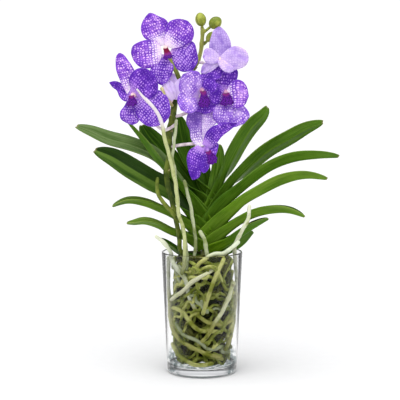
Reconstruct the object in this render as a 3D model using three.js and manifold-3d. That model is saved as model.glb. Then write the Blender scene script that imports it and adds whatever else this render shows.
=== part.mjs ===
// A vanda orchid in flower, standing bare-rooted in a clear glass vase.
//
// Millimetres, +Z up. The origin is the centre of the vase's foot, on the surface that it stands
// on. +X runs along the fan of leaves to the right, and -Y is the side that the flowers face.

import * as THREE from 'three';
import { mergeVertices } from 'three/addons/utils/BufferGeometryUtils.js';
import Module from 'manifold-3d';

const wasm = await Module();
wasm.setup();

// ---------------------------------------------------------------- driving dimensions

// Vase: blown clear glass, heavy in the floor.
const VASE_HEIGHT = 180;
const VASE_RIM_RADIUS = 60;
const VASE_FOOT_RADIUS = 52;
const VASE_WALL = 2.6;
const VASE_FLOOR = 12;
const VASE_HEEL_ROUNDING = 5;
const VASE_SIDES = 40;

// Clearances: how far apart two pieces stay where one grows out of, or rests on, the other.
const GAP = 0.35;
const CUT_CLEARANCE = 0.6;

// Slivers smaller than this, left where pieces were cut or joined, are smoothed away.
const MESH_TOLERANCE = 0.03;

// Stem and flower stem. The flower stem swells between the second and the fourth flower.
const STEM_RADIUS = 7;
const FLOWER_STEM_GIRTH = [[0, 3.2], [0.35, 3.6], [0.55, 4.4], [0.68, 4.7], [0.8, 3.2], [1, 2.6]];
const BRACT_RADIUS = 2.4;
const STALK_RADIUS = 2.4;
const BUD_NECK_RADIUS = 1.9;

// Leaves: leathery straps, folded into a V along the keel, wider and nearly shut at the stem.
const LEAF_THICKNESS = 2.2;
const LEAF_EDGE_THICKNESS = 1.2;
const LEAF_STATIONS = 12;
const LEAF_BASE_WIDENING = 1.15;
const LEAF_BASE_FOLD = 64;
const LEAF_TIP_OPENING = 0.8;

// Roots.
const ROOT_RADIUS = 3;
const THIN_ROOT_RADII = { root_long_aerial: 2.7, root_thin_aerial: 2.2, root_front: 2.5 };
const ROOT_SIDES = 6;
const ROOT_STEP = 13;
const TANGLE_RADIUS = 35;
const TANGLE_TOP = 156;

// Flowers: five tepals round a column, with a lip under it.
const TEPAL_THICKNESS = 1.2;
const TEPAL_LAYER = 0.17;
const TEPAL_STATIONS = 6;
const CLAW_REACH = 0.7;
const RECEPTACLE_RADIUS = 4.2;
const RECEPTACLE_LENGTH = 20;
const COLUMN_LENGTH = 7;
const LIP_LENGTH = 17;
const LIP_HALF_WIDTHS = [3.2, 4.6, 8.2, 3.8];
const LIP_THICKNESS = 3;

// ---------------------------------------------------------------- materials

function material(color, roughness, extra = {}) {
  return new THREE.MeshStandardMaterial({ color, roughness, metalness: 0, ...extra });
}

const GLASS = () => material(0xe8efee, 0.05, { transparent: true, opacity: 0.35 });
const LEAF_GREEN = () => material(0x3f5f22, 0.4);
const STEM_GREEN = () => material(0x6d7a3a, 0.5);
const BUD_GREEN = () => material(0xa6b04a, 0.5);
const STALK_PINK = () => material(0xd9c9cf, 0.5);
const VIOLET = () => material(0x8a6cc0, 0.6);
const LIP_VIOLET = () => material(0x33184f, 0.5);
const ROOT_SILVER = () => material(0xb9bda4, 0.8);
const ROOT_BROWN = () => material(0x5d5a3a, 0.9);

// ---------------------------------------------------------------- solids

// A closed geometry with shared corners, as a solid that can be cut and joined.
function toSolid(geometry) {
  const bare = geometry.clone();
  bare.deleteAttribute('normal');
  bare.deleteAttribute('uv');
  const merged = mergeVertices(bare, 1e-4);
  return new wasm.Manifold(new wasm.Mesh({
    numProp: 3,
    vertProperties: new Float32Array(merged.attributes.position.array),
    triVerts: new Uint32Array(merged.index.array),
  }));
}

function toGeometry(solid) {
  const mesh = largestBody(solid.simplify(MESH_TOLERANCE)).getMesh();
  const geometry = new THREE.BufferGeometry();
  geometry.setAttribute('position', new THREE.BufferAttribute(mesh.vertProperties, 3));
  geometry.setIndex(new THREE.BufferAttribute(mesh.triVerts, 1));
  geometry.computeVertexNormals();
  return geometry;
}

// The same shape, swollen outward by a clearance, to cut room for it out of its neighbours.
// Thin edges can swell crookedly, so the shape itself stays part of the cutter.
function swollen(geometry, clearance) {
  const bare = geometry.clone();
  bare.deleteAttribute('normal');
  bare.deleteAttribute('uv');
  const merged = mergeVertices(bare, 1e-4);
  merged.computeVertexNormals();
  const position = merged.attributes.position;
  const normal = merged.attributes.normal;
  for (let i = 0; i < position.count; i += 1) {
    position.setXYZ(
      i,
      position.getX(i) + normal.getX(i) * clearance,
      position.getY(i) + normal.getY(i) * clearance,
      position.getZ(i) + normal.getZ(i) * clearance,
    );
  }
  return toSolid(merged).add(toSolid(geometry));
}

function largestBody(solid) {
  const bodies = solid.decompose();
  return bodies.reduce((best, body) => (body.volume() > best.volume() ? body : best));
}

// ---------------------------------------------------------------- the plant's group

const orchid = new THREE.Group();
orchid.name = 'vanda_orchid';

// Each piece is cut clear of the pieces that were added before it.
const placed = [];

function boxesTouch(a, b) {
  return a.clone().expandByScalar(CUT_CLEARANCE * 2).intersectsBox(b);
}

function add(name, geometry, pieceMaterial) {
  geometry.computeBoundingBox();
  const neighbours = placed.filter((other) => boxesTouch(other.box, geometry.boundingBox));
  let solid = toSolid(geometry);
  let touched = false;
  for (const neighbour of neighbours) {
    if (solid.intersect(neighbour.swollenSolid).volume() > 1e-3) {
      solid = solid.subtract(neighbour.swollenSolid);
      touched = true;
    }
  }
  const finished = touched ? toGeometry(solid) : geometry;
  finished.computeBoundingBox();
  const mesh = new THREE.Mesh(finished, pieceMaterial);
  mesh.name = name;
  orchid.add(mesh);
  placed.push({ box: finished.boundingBox, swollenSolid: swollen(finished, CUT_CLEARANCE) });
}

// ---------------------------------------------------------------- shared shape helpers

const UP = new THREE.Vector3(0, 0, 1);
const AWAY = new THREE.Vector3(0, 1, 0);
const FRONT = new THREE.Vector3(0, -1, 0);

const vector = (point) => new THREE.Vector3(...point);

function smoothstep(from, to, x) {
  return THREE.MathUtils.smoothstep(x, from, to);
}

function smoothCurve(points) {
  return new THREE.CatmullRomCurve3(points.map(vector), false, 'centripetal');
}

// A round stalk or root along a smooth curve. radiusAt gives its radius from the start (0) to
// the end (1).
function tube(points, radiusAt, step, sides = ROOT_SIDES) {
  const curve = smoothCurve(points);
  const steps = Math.max(3, Math.round(curve.getLength() / step));
  const { normals, binormals } = curve.computeFrenetFrames(steps);
  const rings = [];
  for (let i = 0; i <= steps; i += 1) {
    const middle = curve.getPointAt(i / steps);
    const radius = radiusAt(i / steps);
    const ring = [];
    for (let side = 0; side < sides; side += 1) {
      const turn = (side / sides) * Math.PI * 2;
      ring.push(middle.clone()
        .addScaledVector(normals[i], Math.cos(turn) * radius)
        .addScaledVector(binormals[i], Math.sin(turn) * radius));
    }
    rings.push(ring);
  }
  return loft(rings);
}

const even = (radius) => () => radius;

// A closed body from rings that all have the same number of corners. Its two ends fan out
// from each ring's second corner, which is the inside of the fold on a folded section.
function loft(rings) {
  const count = rings[0].length;
  const corners = rings.flat().flatMap((corner) => corner.toArray());
  const faces = [];
  for (let ring = 0; ring + 1 < rings.length; ring += 1) {
    for (let i = 0; i < count; i += 1) {
      const a = ring * count + i;
      const b = ring * count + ((i + 1) % count);
      faces.push(a, b, b + count, a, b + count, a + count);
    }
  }
  const last = (rings.length - 1) * count;
  for (let i = 1; i + 1 < count; i += 1) {
    const a = 1 + i;
    const b = (2 + i) % count;
    faces.push(1, b, a);
    faces.push(last + 1, last + a, last + b);
  }
  const geometry = new THREE.BufferGeometry();
  geometry.setAttribute('position', new THREE.Float32BufferAttribute(corners, 3));
  geometry.setIndex(faces);
  return facingOut(geometry);
}

function signedVolume(geometry) {
  const position = geometry.attributes.position;
  const index = geometry.index;
  const a = new THREE.Vector3();
  const b = new THREE.Vector3();
  const c = new THREE.Vector3();
  let volume = 0;
  for (let i = 0; i < index.count; i += 3) {
    a.fromBufferAttribute(position, index.getX(i));
    b.fromBufferAttribute(position, index.getX(i + 1));
    c.fromBufferAttribute(position, index.getX(i + 2));
    volume += a.dot(b.cross(c)) / 6;
  }
  return volume;
}

function facingOut(geometry) {
  if (signedVolume(geometry) < 0) {
    const index = geometry.index;
    for (let i = 0; i < index.count; i += 3) {
      const second = index.getX(i + 1);
      index.setX(i + 1, index.getX(i + 2));
      index.setX(i + 2, second);
    }
  }
  geometry.computeVertexNormals();
  return geometry;
}

// ---------------------------------------------------------------- vase

function vaseOuterRadius(z) {
  return THREE.MathUtils.lerp(VASE_FOOT_RADIUS, VASE_RIM_RADIUS, z / VASE_HEIGHT);
}

// Points of a quarter circle round a centre, from one angle to another, in degrees.
function arc(centreX, centreZ, radius, from, to, pieces) {
  const points = [];
  for (let i = 0; i <= pieces; i += 1) {
    const turn = THREE.MathUtils.degToRad(THREE.MathUtils.lerp(from, to, i / pieces));
    points.push(new THREE.Vector2(
      centreX + Math.cos(turn) * radius,
      centreZ + Math.sin(turn) * radius,
    ));
  }
  return points;
}

function vase() {
  const heel = VASE_HEEL_ROUNDING;
  const lip = VASE_WALL / 2;
  const inside = vaseOuterRadius(VASE_FLOOR) - VASE_WALL;
  const profile = [
    new THREE.Vector2(0, 0),
    ...arc(VASE_FOOT_RADIUS - heel, heel, heel, -90, 0, 3),
    ...arc(VASE_RIM_RADIUS - lip, VASE_HEIGHT - lip, lip, 0, 180, 4),
    ...arc(inside - heel, VASE_FLOOR + heel, heel, 0, -90, 3),
    new THREE.Vector2(0, VASE_FLOOR),
  ];
  const geometry = new THREE.LatheGeometry(profile, VASE_SIDES);
  geometry.rotateX(Math.PI / 2);
  return facingOut(mergeVertices(stripped(geometry), 1e-4));
}

function stripped(geometry) {
  geometry.deleteAttribute('normal');
  geometry.deleteAttribute('uv');
  return geometry;
}

add('vase', vase(), GLASS());

// ---------------------------------------------------------------- stem

const STEM_PATH = [
  [4, 0, 122], [5, 2, 165], [6.5, 5, 190], [7, 9, 215], [11, 14, 240], [12, 15, 248],
];

add('stem', tube(STEM_PATH, even(STEM_RADIUS), 14, 8), STEM_GREEN());

// ---------------------------------------------------------------- flower stem

// It leaves the stem low between the leaves, leans left, and curls back to its tip.
const FLOWER_STEM_PATH = [
  [-8, -12, 150], [-20, -18, 166], [-32, -22, 185], [-33, -27, 200], [-35, -29, 215],
  [-38, -31, 230], [-44, -35, 259], [-50, -36, 283], [-51, -37, 303], [-47, -37, 325],
  [-47, -36, 346], [-47, -34, 361], [-43, -33, 375], [-40, -31, 396], [-37, -28, 414],
  [-29, -26, 428], [-17, -24, 442], [-7, -22, 458], [-2, -20, 473], [0, -20, 490], [1, -20, 504],
];
const BRACT_PATH = [
  [-40, -33, 238], [-49, -37, 248], [-57, -40, 258], [-63, -42, 268], [-65, -43, 279],
  [-64, -43, 291],
];

function flowerStemRadius(u) {
  const next = Math.max(1, FLOWER_STEM_GIRTH.findIndex(([place]) => place >= u));
  const [from, radius] = FLOWER_STEM_GIRTH[next - 1];
  const [to, nextRadius] = FLOWER_STEM_GIRTH[next];
  return THREE.MathUtils.mapLinear(u, from, to, radius, nextRadius);
}

function flowerStem() {
  const main = toSolid(tube(FLOWER_STEM_PATH, flowerStemRadius, 14, 7));
  const bract = toSolid(tube(BRACT_PATH, even(BRACT_RADIUS), 9, 6));
  return toGeometry(main.add(bract));
}

add('flower_stem', flowerStem(), STEM_GREEN());

// ---------------------------------------------------------------- flowers

// The edge of a tepal as a smooth curve from its claw to its tip, with its depth on the way.
function tepalEdge(edge, depth) {
  const curve = smoothCurve(edge.map(([x, z]) => [x, 0, z]));
  return (u) => curve.getPointAt(u * 0.98).setY(THREE.MathUtils.lerp(...depth, u));
}

// One tepal: a thin shell between its left and its right edge. bow lifts its middle toward the
// front, and cup lifts its edges. Its claw narrows toward the flower's centre.
function tepal(centre, { depth, left, right, bow = 3, cup = 2 }) {
  const leftAt = tepalEdge(left, depth);
  const rightAt = tepalEdge(right, depth);
  const rings = [];
  for (let i = 0; i <= TEPAL_STATIONS; i += 1) {
    const u = i / TEPAL_STATIONS;
    const ridge = [0, 0.5, 1].map((across) => {
      const lift = bow * 4 * u * (1 - u) + cup * u * (across * 2 - 1) ** 2;
      return leftAt(u).lerp(rightAt(u), across).addScaledVector(FRONT, lift);
    });
    rings.push(tepalRing(ridge));
  }
  const claw = rings[0].slice(0, 3).map((corner) => corner.clone()
    .lerp(centre.clone().setY(corner.y), CLAW_REACH));
  return loft([tepalRing(claw), ...rings]);
}

function tepalRing(ridge) {
  const back = [...ridge].reverse().map((corner) => corner.clone()
    .addScaledVector(FRONT, -TEPAL_THICKNESS));
  return [...ridge, ...back];
}

// A small rounded body round a centre, stretched along one direction.
function bead(centre, radius, direction, length) {
  const geometry = new THREE.IcosahedronGeometry(radius, 1);
  const body = mergeVertices(stripped(geometry), 1e-4);
  const stretch = new THREE.Matrix4().makeScale(1, 1, length / (2 * radius));
  const turn = new THREE.Matrix4().makeRotationFromQuaternion(
    new THREE.Quaternion().setFromUnitVectors(UP, direction),
  );
  body.applyMatrix4(stretch);
  body.applyMatrix4(turn);
  body.translate(centre.x, centre.y, centre.z);
  return body;
}

function perianth(flower) {
  const centre = vector(flower.centre);
  const face = vector(flower.face).normalize();
  let solid = toSolid(bead(centre, RECEPTACLE_RADIUS, face, RECEPTACLE_LENGTH));
  Object.values(flower.tepals).forEach((shape, number) => {
    const blade = toSolid(tepal(centre, shape)).translate([0, -number * TEPAL_LAYER, 0]);
    solid = solid.add(blade);
  });
  return toGeometry(solid);
}

function lip(flower) {
  const [width, length] = flower.lipSize ?? [1, 1];
  const face = vector(flower.face).normalize();
  const hanging = vector(flower.lip);
  const down = hanging.addScaledVector(face, -hanging.dot(face)).normalize();
  const start = vector(flower.centre)
    .addScaledVector(face, COLUMN_LENGTH)
    .addScaledVector(down, RECEPTACLE_RADIUS * 0.4);
  const direction = down.clone().addScaledVector(face, 0.45).normalize();
  const across = new THREE.Vector3().crossVectors(direction, face).normalize();
  const front = new THREE.Vector3().crossVectors(across, direction).normalize();
  const rings = LIP_HALF_WIDTHS.map((half, i) => {
    const reach = (i / (LIP_HALF_WIDTHS.length - 1)) * LIP_LENGTH * length;
    const middle = start.clone().addScaledVector(direction, reach);
    return [[-1, 0.5], [0, 0.9], [1, 0.5], [0, -0.1]].map(([side, height]) => middle.clone()
      .addScaledVector(across, side * half * width)
      .addScaledVector(front, height * LIP_THICKNESS));
  });
  return loft(rings);
}

// Where each flower's centre is, which way it faces, which way its lip hangs and how much wider
// and longer than the common lip it is, its tepals, and how its stalk runs from the flower stem.
// A tepal has the depth (y) of its claw and of its tip, and its left and right edge as (x, z).
const FLOWERS = [
  {
    name: 'flower_1',
    centre: [-52, -46, 477],
    face: [0.05, -1, 0.05],
    lip: [0.25, -0.2, -1],
    lipSize: [0.85, 1.05],
    tepals: {
      dorsalSepal: {
        depth: [-46, -49],
        left: [
          [-60, 480], [-71, 486], [-82, 491], [-87, 503], [-85, 514], [-80, 522], [-75, 527],
        ],
        right: [
          [-48, 482], [-46, 494], [-46, 508], [-51, 517], [-61, 522], [-69, 526], [-75, 527],
        ],
      },
      rightSepal: {
        depth: [-46, -50],
        left: [[-47, 470], [-44, 460], [-37, 448], [-26, 443], [-13, 446]],
        right: [[-43, 477], [-26, 487], [-12, 486], [-7, 472], [-6, 458], [-13, 446]],
      },
      leftSepal: {
        depth: [-46, -53],
        left: [[-58, 469], [-68, 458], [-74, 446], [-71, 433], [-58, 424]],
        right: [[-46, 467], [-40, 453], [-43, 439], [-50, 429], [-58, 424]],
      },
      rightPetal: {
        depth: [-49, -54],
        left: [[-53, 481], [-54, 494], [-52, 505], [-47, 514], [-34, 518], [-21, 516]],
        right: [[-43, 476], [-29, 479], [-15, 486], [-11, 497], [-14, 508], [-21, 516]],
      },
      leftPetal: {
        depth: [-49, -52],
        left: [[-57, 465], [-64, 453], [-77, 448], [-88, 450], [-97, 459], [-101, 469]],
        right: [[-58, 479], [-68, 487], [-78, 489], [-89, 486], [-99, 479], [-101, 469]],
      },
    },
    stalk: [
      [-31, -27, 422], [-32, -37, 429], [-35, -46, 440], [-41, -47, 452], [-50, -44, 472],
    ],
    stalkRadius: 3.4,
  },
  {
    name: 'flower_2',
    centre: [-97, -50, 411],
    face: [-0.35, -1, 0],
    lip: [0, -0.3, -1],
    lipSize: [1.1, 1.0],
    tepals: {
      dorsalSepal: {
        depth: [-50, -52],
        left: [[-107, 412], [-117, 432], [-122, 446], [-123, 459], [-122, 466], [-117, 471]],
        right: [[-94, 415], [-92, 435], [-99, 452], [-106, 462], [-111, 468], [-117, 471]],
      },
      rightSepal: {
        depth: [-50, -62],
        left: [[-101, 405], [-97, 390], [-91, 377], [-80, 368], [-68, 366], [-55, 370]],
        right: [
          [-90, 412], [-74, 417], [-60, 418], [-48, 407], [-45, 394], [-46, 381], [-55, 370],
        ],
      },
      leftSepal: {
        depth: [-50, -50],
        left: [[-105, 407], [-111, 395], [-117, 387], [-116, 377], [-108, 371], [-100, 368]],
        right: [[-93, 405], [-88, 392], [-88, 380], [-92, 371], [-100, 368]],
      },
      rightPetal: {
        depth: [-53, -64],
        left: [[-100, 414], [-104, 432], [-99, 443], [-89, 449], [-76, 447], [-66, 438]],
        right: [[-88, 405], [-74, 405], [-64, 412], [-62, 426], [-66, 438]],
      },
      leftPetal: {
        depth: [-52, -34],
        left: [[-100, 402], [-111, 402], [-118, 408], [-122, 417], [-129, 422], [-134, 429]],
        right: [[-98, 415], [-105, 423], [-115, 428], [-125, 431], [-134, 429]],
      },
    },
    stalk: [
      [-37, -40, 370], [-45, -44, 364], [-55, -46, 361], [-68, -44, 370], [-82, -43, 388],
      [-95, -46, 408],
    ],
  },
  {
    name: 'flower_3',
    centre: [-45, -43, 403],
    face: [-0.1, 0.5, 0.85],
    lip: [0, 0.9, 0.3],
    tepals: {
      dorsalSepal: {
        depth: [-39, -41],
        left: [[-47, 407], [-53, 418], [-54, 428], [-50, 438], [-44, 442]],
        right: [[-40, 407], [-34, 418], [-33, 429], [-36, 439], [-44, 442]],
      },
      leftSepal: {
        depth: [-47, -49],
        left: [[-44, 402], [-52, 411], [-56, 419], [-57, 426], [-54, 432]],
        right: [[-39, 405], [-42, 415], [-46, 424], [-50, 431], [-54, 432]],
      },
      rightSepal: {
        depth: [-41, -43],
        left: [[-43, 405], [-40, 415], [-37, 426], [-34, 434], [-30, 438]],
        right: [[-36, 404], [-30, 412], [-26, 421], [-26, 432], [-30, 438]],
      },
      leftPetal: {
        depth: [-45, -47],
        left: [[-43, 404], [-52, 418], [-52, 426], [-49, 432]],
        right: [[-37, 407], [-37, 418], [-42, 429], [-49, 432]],
      },
      rightPetal: {
        depth: [-43, -45],
        left: [[-43, 407], [-42, 418], [-39, 428], [-32, 435]],
        right: [[-37, 405], [-30, 411], [-26, 418], [-26, 428], [-32, 435]],
      },
    },
    stalk: [[-42, -34, 394], [-46, -46, 400], [-53, -54, 409], [-57, -54, 420]],
  },
  {
    name: 'flower_4',
    centre: [-1, -56, 418],
    face: [0.3, -1, -0.1],
    lip: [0.15, -0.3, -1],
    lipSize: [1.15, 1.45],
    tepals: {
      dorsalSepal: {
        depth: [-52, -38],
        bow: 5,
        left: [[-2, 421], [-3, 435], [1, 446], [8, 452], [17, 455]],
        right: [[8, 421], [18, 431], [27, 436], [30, 446], [26, 452], [17, 455]],
      },
      rightSepal: {
        depth: [-50, -46],
        left: [[-4, 407], [-11, 399], [-11, 390], [-2, 384]],
        right: [[10, 410], [22, 404], [22, 394], [10, 385], [-2, 384]],
      },
      leftSepal: {
        depth: [-54, -74],
        left: [[-6, 414], [-20, 419], [-33, 412], [-35, 401], [-30, 390]],
        right: [[-3, 404], [-5, 393], [-13, 386], [-23, 386], [-30, 390]],
      },
      rightPetal: {
        depth: [-56, -52],
        bow: 6,
        left: [[-2, 415], [0, 426], [6, 434], [13, 435], [19, 431]],
        right: [[7, 409], [14, 412], [20, 418], [21, 425], [19, 431]],
      },
      leftPetal: {
        depth: [-56, -76],
        left: [[-6, 405], [-20, 405], [-31, 414], [-33, 426], [-27, 440]],
        right: [[-2, 415], [0, 430], [-4, 443], [-15, 445], [-27, 440]],
      },
    },
    stalk: [[-38, -34, 380], [-28, -36, 383], [-18, -38, 388], [-8, -42, 400], [-1, -49, 413]],
  },
  {
    name: 'flower_5',
    centre: [33, -46, 415],
    face: [0.1, -1, -0.1],
    lip: [0.2, -0.4, -1],
    lipSize: [1.35, 1.1],
    tepals: {
      dorsalSepal: {
        depth: [-44, -38],
        left: [[28, 415], [17, 426], [14, 438], [20, 448], [37, 452]],
        right: [[38, 415], [46, 425], [51, 436], [51, 446], [37, 452]],
      },
      rightSepal: {
        depth: [-46, -50],
        left: [[31, 404], [33, 391], [36, 379], [46, 369], [60, 370]],
        right: [[41, 407], [55, 399], [64, 391], [68, 381], [60, 370]],
      },
      leftSepal: {
        depth: [-48, -50],
        left: [[24, 405], [17, 394], [17, 381], [30, 368]],
        right: [[38, 405], [44, 394], [42, 380], [30, 368]],
      },
      rightPetal: {
        depth: [-49, -62],
        left: [[35, 402], [42, 394], [52, 392], [61, 397], [66, 409]],
        right: [[34, 415], [41, 429], [49, 433], [58, 430], [64, 421], [66, 409]],
      },
      leftPetal: {
        depth: [-48, -60],
        left: [[31, 402], [20, 397], [11, 404], [10, 417]],
        right: [[34, 415], [25, 426], [15, 428], [10, 417]],
      },
    },
    stalk: [[-14, -24, 445], [2, -22, 434], [20, -28, 422], [32, -42, 416]],
  },
  {
    name: 'flower_6',
    centre: [25, -50, 461],
    face: [0.6, 0.6, 0.5],
    lip: [0.2, 0.7, -0.7],
    tepals: {
      dorsalSepal: {
        depth: [-50, -46],
        left: [[18, 459], [11, 469], [10, 481], [13, 494], [17, 503], [24, 508]],
        right: [[31, 460], [40, 470], [41, 483], [37, 494], [31, 503], [24, 508]],
      },
      rightSepal: {
        depth: [-54, -60],
        left: [[21, 460], [24, 452], [30, 445], [39, 442]],
        right: [[31, 460], [41, 453], [46, 447], [39, 442]],
      },
      leftSepal: {
        depth: [-50, -47],
        left: [[28, 456], [18, 448], [7, 441], [-2, 442]],
        right: [[24, 463], [11, 459], [1, 453], [-2, 442]],
      },
      rightPetal: {
        depth: [-52, -51],
        left: [[24, 457], [31, 451], [41, 446], [54, 448], [62, 453], [66, 462]],
        right: [[27, 467], [37, 476], [46, 480], [55, 478], [63, 472], [66, 462]],
      },
      leftPetal: {
        depth: [-51, -57],
        left: [[27, 457], [17, 455], [8, 455], [1, 463]],
        right: [[24, 467], [14, 476], [5, 476], [1, 463]],
      },
    },
    stalk: [[-4, -22, 458], [7, -32, 456], [17, -43, 458], [23, -48, 460]],
  },
  {
    name: 'flower_7',
    centre: [6, -57, 334],
    face: [0.3, -1, -0.2],
    lip: [0.45, -0.3, -0.8],
    lipSize: [1.0, 1.2],
    tepals: {
      dorsalSepal: {
        depth: [-53, -44],
        left: [[-6, 336], [-16, 348], [-18, 360], [-23, 372], [-20, 385], [-10, 392]],
        right: [[3, 338], [0, 354], [0, 368], [-2, 385], [-10, 392]],
      },
      rightPetal: {
        depth: [-50, -42],
        left: [[-3, 338], [-4, 358], [-4, 378], [1, 389], [13, 395]],
        right: [[7, 341], [11, 361], [20, 370], [27, 380], [26, 391], [13, 395]],
      },
      leftPetal: {
        depth: [-56, -74],
        left: [[0, 341], [6, 359], [15, 367], [32, 372], [50, 372]],
        right: [[11, 334], [21, 343], [28, 352], [38, 360], [46, 367], [50, 372]],
      },
      rightSepal: {
        depth: [-51, -64],
        left: [[-2, 336], [-7, 319], [-6, 306], [3, 300]],
        right: [[10, 341], [23, 343], [20, 327], [13, 315], [9, 305], [3, 300]],
      },
      leftSepal: {
        depth: [-55, -60],
        left: [[-6, 340], [-18, 333], [-22, 323], [-21, 310], [-18, 298], [-13, 290]],
        right: [[4, 334], [3, 319], [0, 304], [-4, 294], [-13, 290]],
      },
    },
    stalk: [[-45, -38, 336], [-33, -43, 339], [-18, -46, 341], [-8, -46, 341], [2, -46, 338]],
  },
];

for (const flower of FLOWERS) {
  add(`${flower.name}_perianth`, perianth(flower), VIOLET());
  add(`${flower.name}_lip`, lip(flower), LIP_VIOLET());
}
for (const flower of FLOWERS) {
  const radius = flower.stalkRadius ?? STALK_RADIUS;
  add(`${flower.name}_stalk`, tube(flower.stalk, even(radius), 9, 6), STALK_PINK());
}

// ---------------------------------------------------------------- buds

const BUDS = [
  { name: 'bud_1', from: [1, -20, 504], to: [-2, -20, 519], width: 16, length: 20 },
  { name: 'bud_2', from: [3, -21, 501], to: [19, -25, 514], width: 17.5, length: 20 },
  { name: 'bud_3', from: [3, -20, 484], to: [13, -25, 494], width: 13, length: 18 },
];

function bud({ from, to, width, length }) {
  const direction = vector(to).sub(vector(from)).normalize();
  const body = toSolid(bead(vector(to), width / 2, direction, length));
  return toGeometry(body.add(toSolid(tube([from, to], even(BUD_NECK_RADIUS), 6))));
}

for (const shape of BUDS) add(shape.name, bud(shape), BUD_GREEN());

// ---------------------------------------------------------------- roots

// Roots in the open air first, then those that wind round inside the glass, from the top down.
const ROOTS = {
  root_long_aerial: [
    [-91, -84, 418], [-78, -80, 404], [-65, -76, 389], [-58, -72, 376], [-54, -68, 358],
    [-49, -64, 333], [-42, -60, 305], [-37, -56, 276], [-34, -52, 247], [-31, -50, 232],
    [-26, -47, 210], [-25, -44, 188], [-26, -43, 166], [-28, -43, 153],
  ],
  root_thin_aerial: [
    [-36, -48, 374], [-38, -50, 355], [-41, -51, 334], [-42, -51, 322], [-40, -50, 304],
    [-38, -48, 289], [-36, -46, 268], [-33, -42, 243], [-29, -38, 222], [-25, -36, 201],
    [-22, -34, 183], [-22, -34, 163], [-24, -32, 146],
  ],
  root_front: [
    [-25, -34, 287], [-22, -33, 274], [-19, -32, 259], [-16, -31, 245], [-14, -29, 230],
    [-11, -27, 215], [-9, -24, 193], [-12, -25, 170], [-15, -30, 152],
  ],
  root_short: [[-2, -36, 213], [4, -35, 200], [7, -33, 179], [9, -30, 160]],
  root_left_ring: [
    [-66, -40, 206], [-57, -36, 198], [-47, -27, 184], [-44, -19, 168], [-37, -30, 159],
    [-29, -36, 150], [-23, -38, 140], [-20, -38, 122], [-13, -40, 107], [-6, -40, 92],
    [3, -42, 84], [13, -40, 80], [29, -30, 76], [40, -20, 78], [44, -16, 88],
  ],
  root_right_wall: [
    [69, -40, 251], [65, -40, 230], [57, -36, 214], [51, -28, 200], [48, -18, 184], [51, -6, 166],
    [52, -4, 140], [51, -6, 115], [48, -9, 88], [42, -20, 60], [34, -30, 40],
  ],
  root_thick_rim: [
    [52, -34, 198], [40, -36, 187], [29, -33, 181], [19, -38, 182], [11, -40, 179], [3, -43, 172],
    [-5, -44, 167], [-10, -43, 159], [-17, -41, 154],
  ],
  root_crossing: [
    [25, -24, 160], [17, -34, 157], [3, -46, 151], [-7, -49, 146], [-16, -47, 140],
    [-24, -44, 131], [-34, -37, 120], [-44, -24, 112],
  ],
  root_olive: [[31, -36, 172], [22, -42, 155], [13, -46, 133], [6, -47, 111], [1, -45, 95]],
  root_low_left: [
    [-41, -29, 100], [-28, -41, 96], [-20, -44, 86], [-12, -46, 76], [1, -43, 69], [13, -41, 68],
    [27, -34, 66],
  ],
  root_right_slope: [
    [45, -23, 135], [37, -34, 114], [28, -41, 95], [18, -46, 81], [11, -47.5, 67], [3, -45, 57],
    [-5, -41, 48],
  ],
  root_left_wall: [
    [-50, -8, 168], [-51, -4, 148], [-51, -2, 128], [-48, -15, 106], [-45, -18, 83],
    [-41, -26, 65], [-32, -36, 54], [-20, -43, 47], [-6, -47, 41], [11, -46, 35], [28, -36, 27],
  ],
  root_low_middle: [[20, -38, 48], [12, -40, 40], [3, -39.5, 33]],
  root_bottom: [
    [-43, -18, 44], [-36, -28, 33], [-25, -35, 24], [-12, -40, 19], [2, -41, 18], [14, -40, 20],
  ],
};

for (const [name, path] of Object.entries(ROOTS)) {
  const radius = THIN_ROOT_RADII[name] ?? ROOT_RADIUS;
  add(name, tube(path, even(radius), ROOT_STEP), ROOT_SILVER());
}

// The mass of older roots behind the ones at the glass: a lumpy body that narrows to the stem.
function tangle() {
  const bottom = VASE_FLOOR + GAP;
  const levels = 7;
  const sides = 14;
  const rings = [];
  for (let level = 0; level <= levels; level += 1) {
    const rise = level / levels;
    const z = THREE.MathUtils.lerp(bottom, TANGLE_TOP, rise);
    const shoulder = Math.sqrt(Math.sin(Math.PI * THREE.MathUtils.lerp(0.1, 0.96, rise)));
    const ring = [];
    for (let side = 0; side < sides; side += 1) {
      const turn = (side / sides) * Math.PI * 2;
      const lump = 1 + 0.06 * Math.sin(3 * turn + 5 * rise) + 0.04 * Math.sin(5 * turn - 9 * rise);
      const radius = TANGLE_RADIUS * shoulder * lump;
      ring.push(new THREE.Vector3(Math.cos(turn) * radius, Math.sin(turn) * radius, z));
    }
    rings.push(ring);
  }
  return loft(rings);
}

add('root_tangle', tangle(), ROOT_BROWN());

// ---------------------------------------------------------------- leaves

// Half width of a leaf along its length: wide where it clasps the stem, then nearly parallel
// sides and a blunt end.
function leafOutline(u) {
  if (u < 0.4) return THREE.MathUtils.lerp(LEAF_BASE_WIDENING, 1, smoothstep(0, 0.4, u));
  if (u < 0.66) return 1;
  return Math.sqrt(1 - ((u - 0.66) / 0.34) ** 2 * 0.9);
}

// How far each half stands up from flat, along the leaf.
function leafFold(u, middle) {
  const opening = THREE.MathUtils.lerp(LEAF_BASE_FOLD, middle, smoothstep(0, 0.42, u));
  const degrees = THREE.MathUtils.lerp(opening, middle * LEAF_TIP_OPENING, smoothstep(0.6, 1, u));
  return THREE.MathUtils.degToRad(degrees);
}

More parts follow.
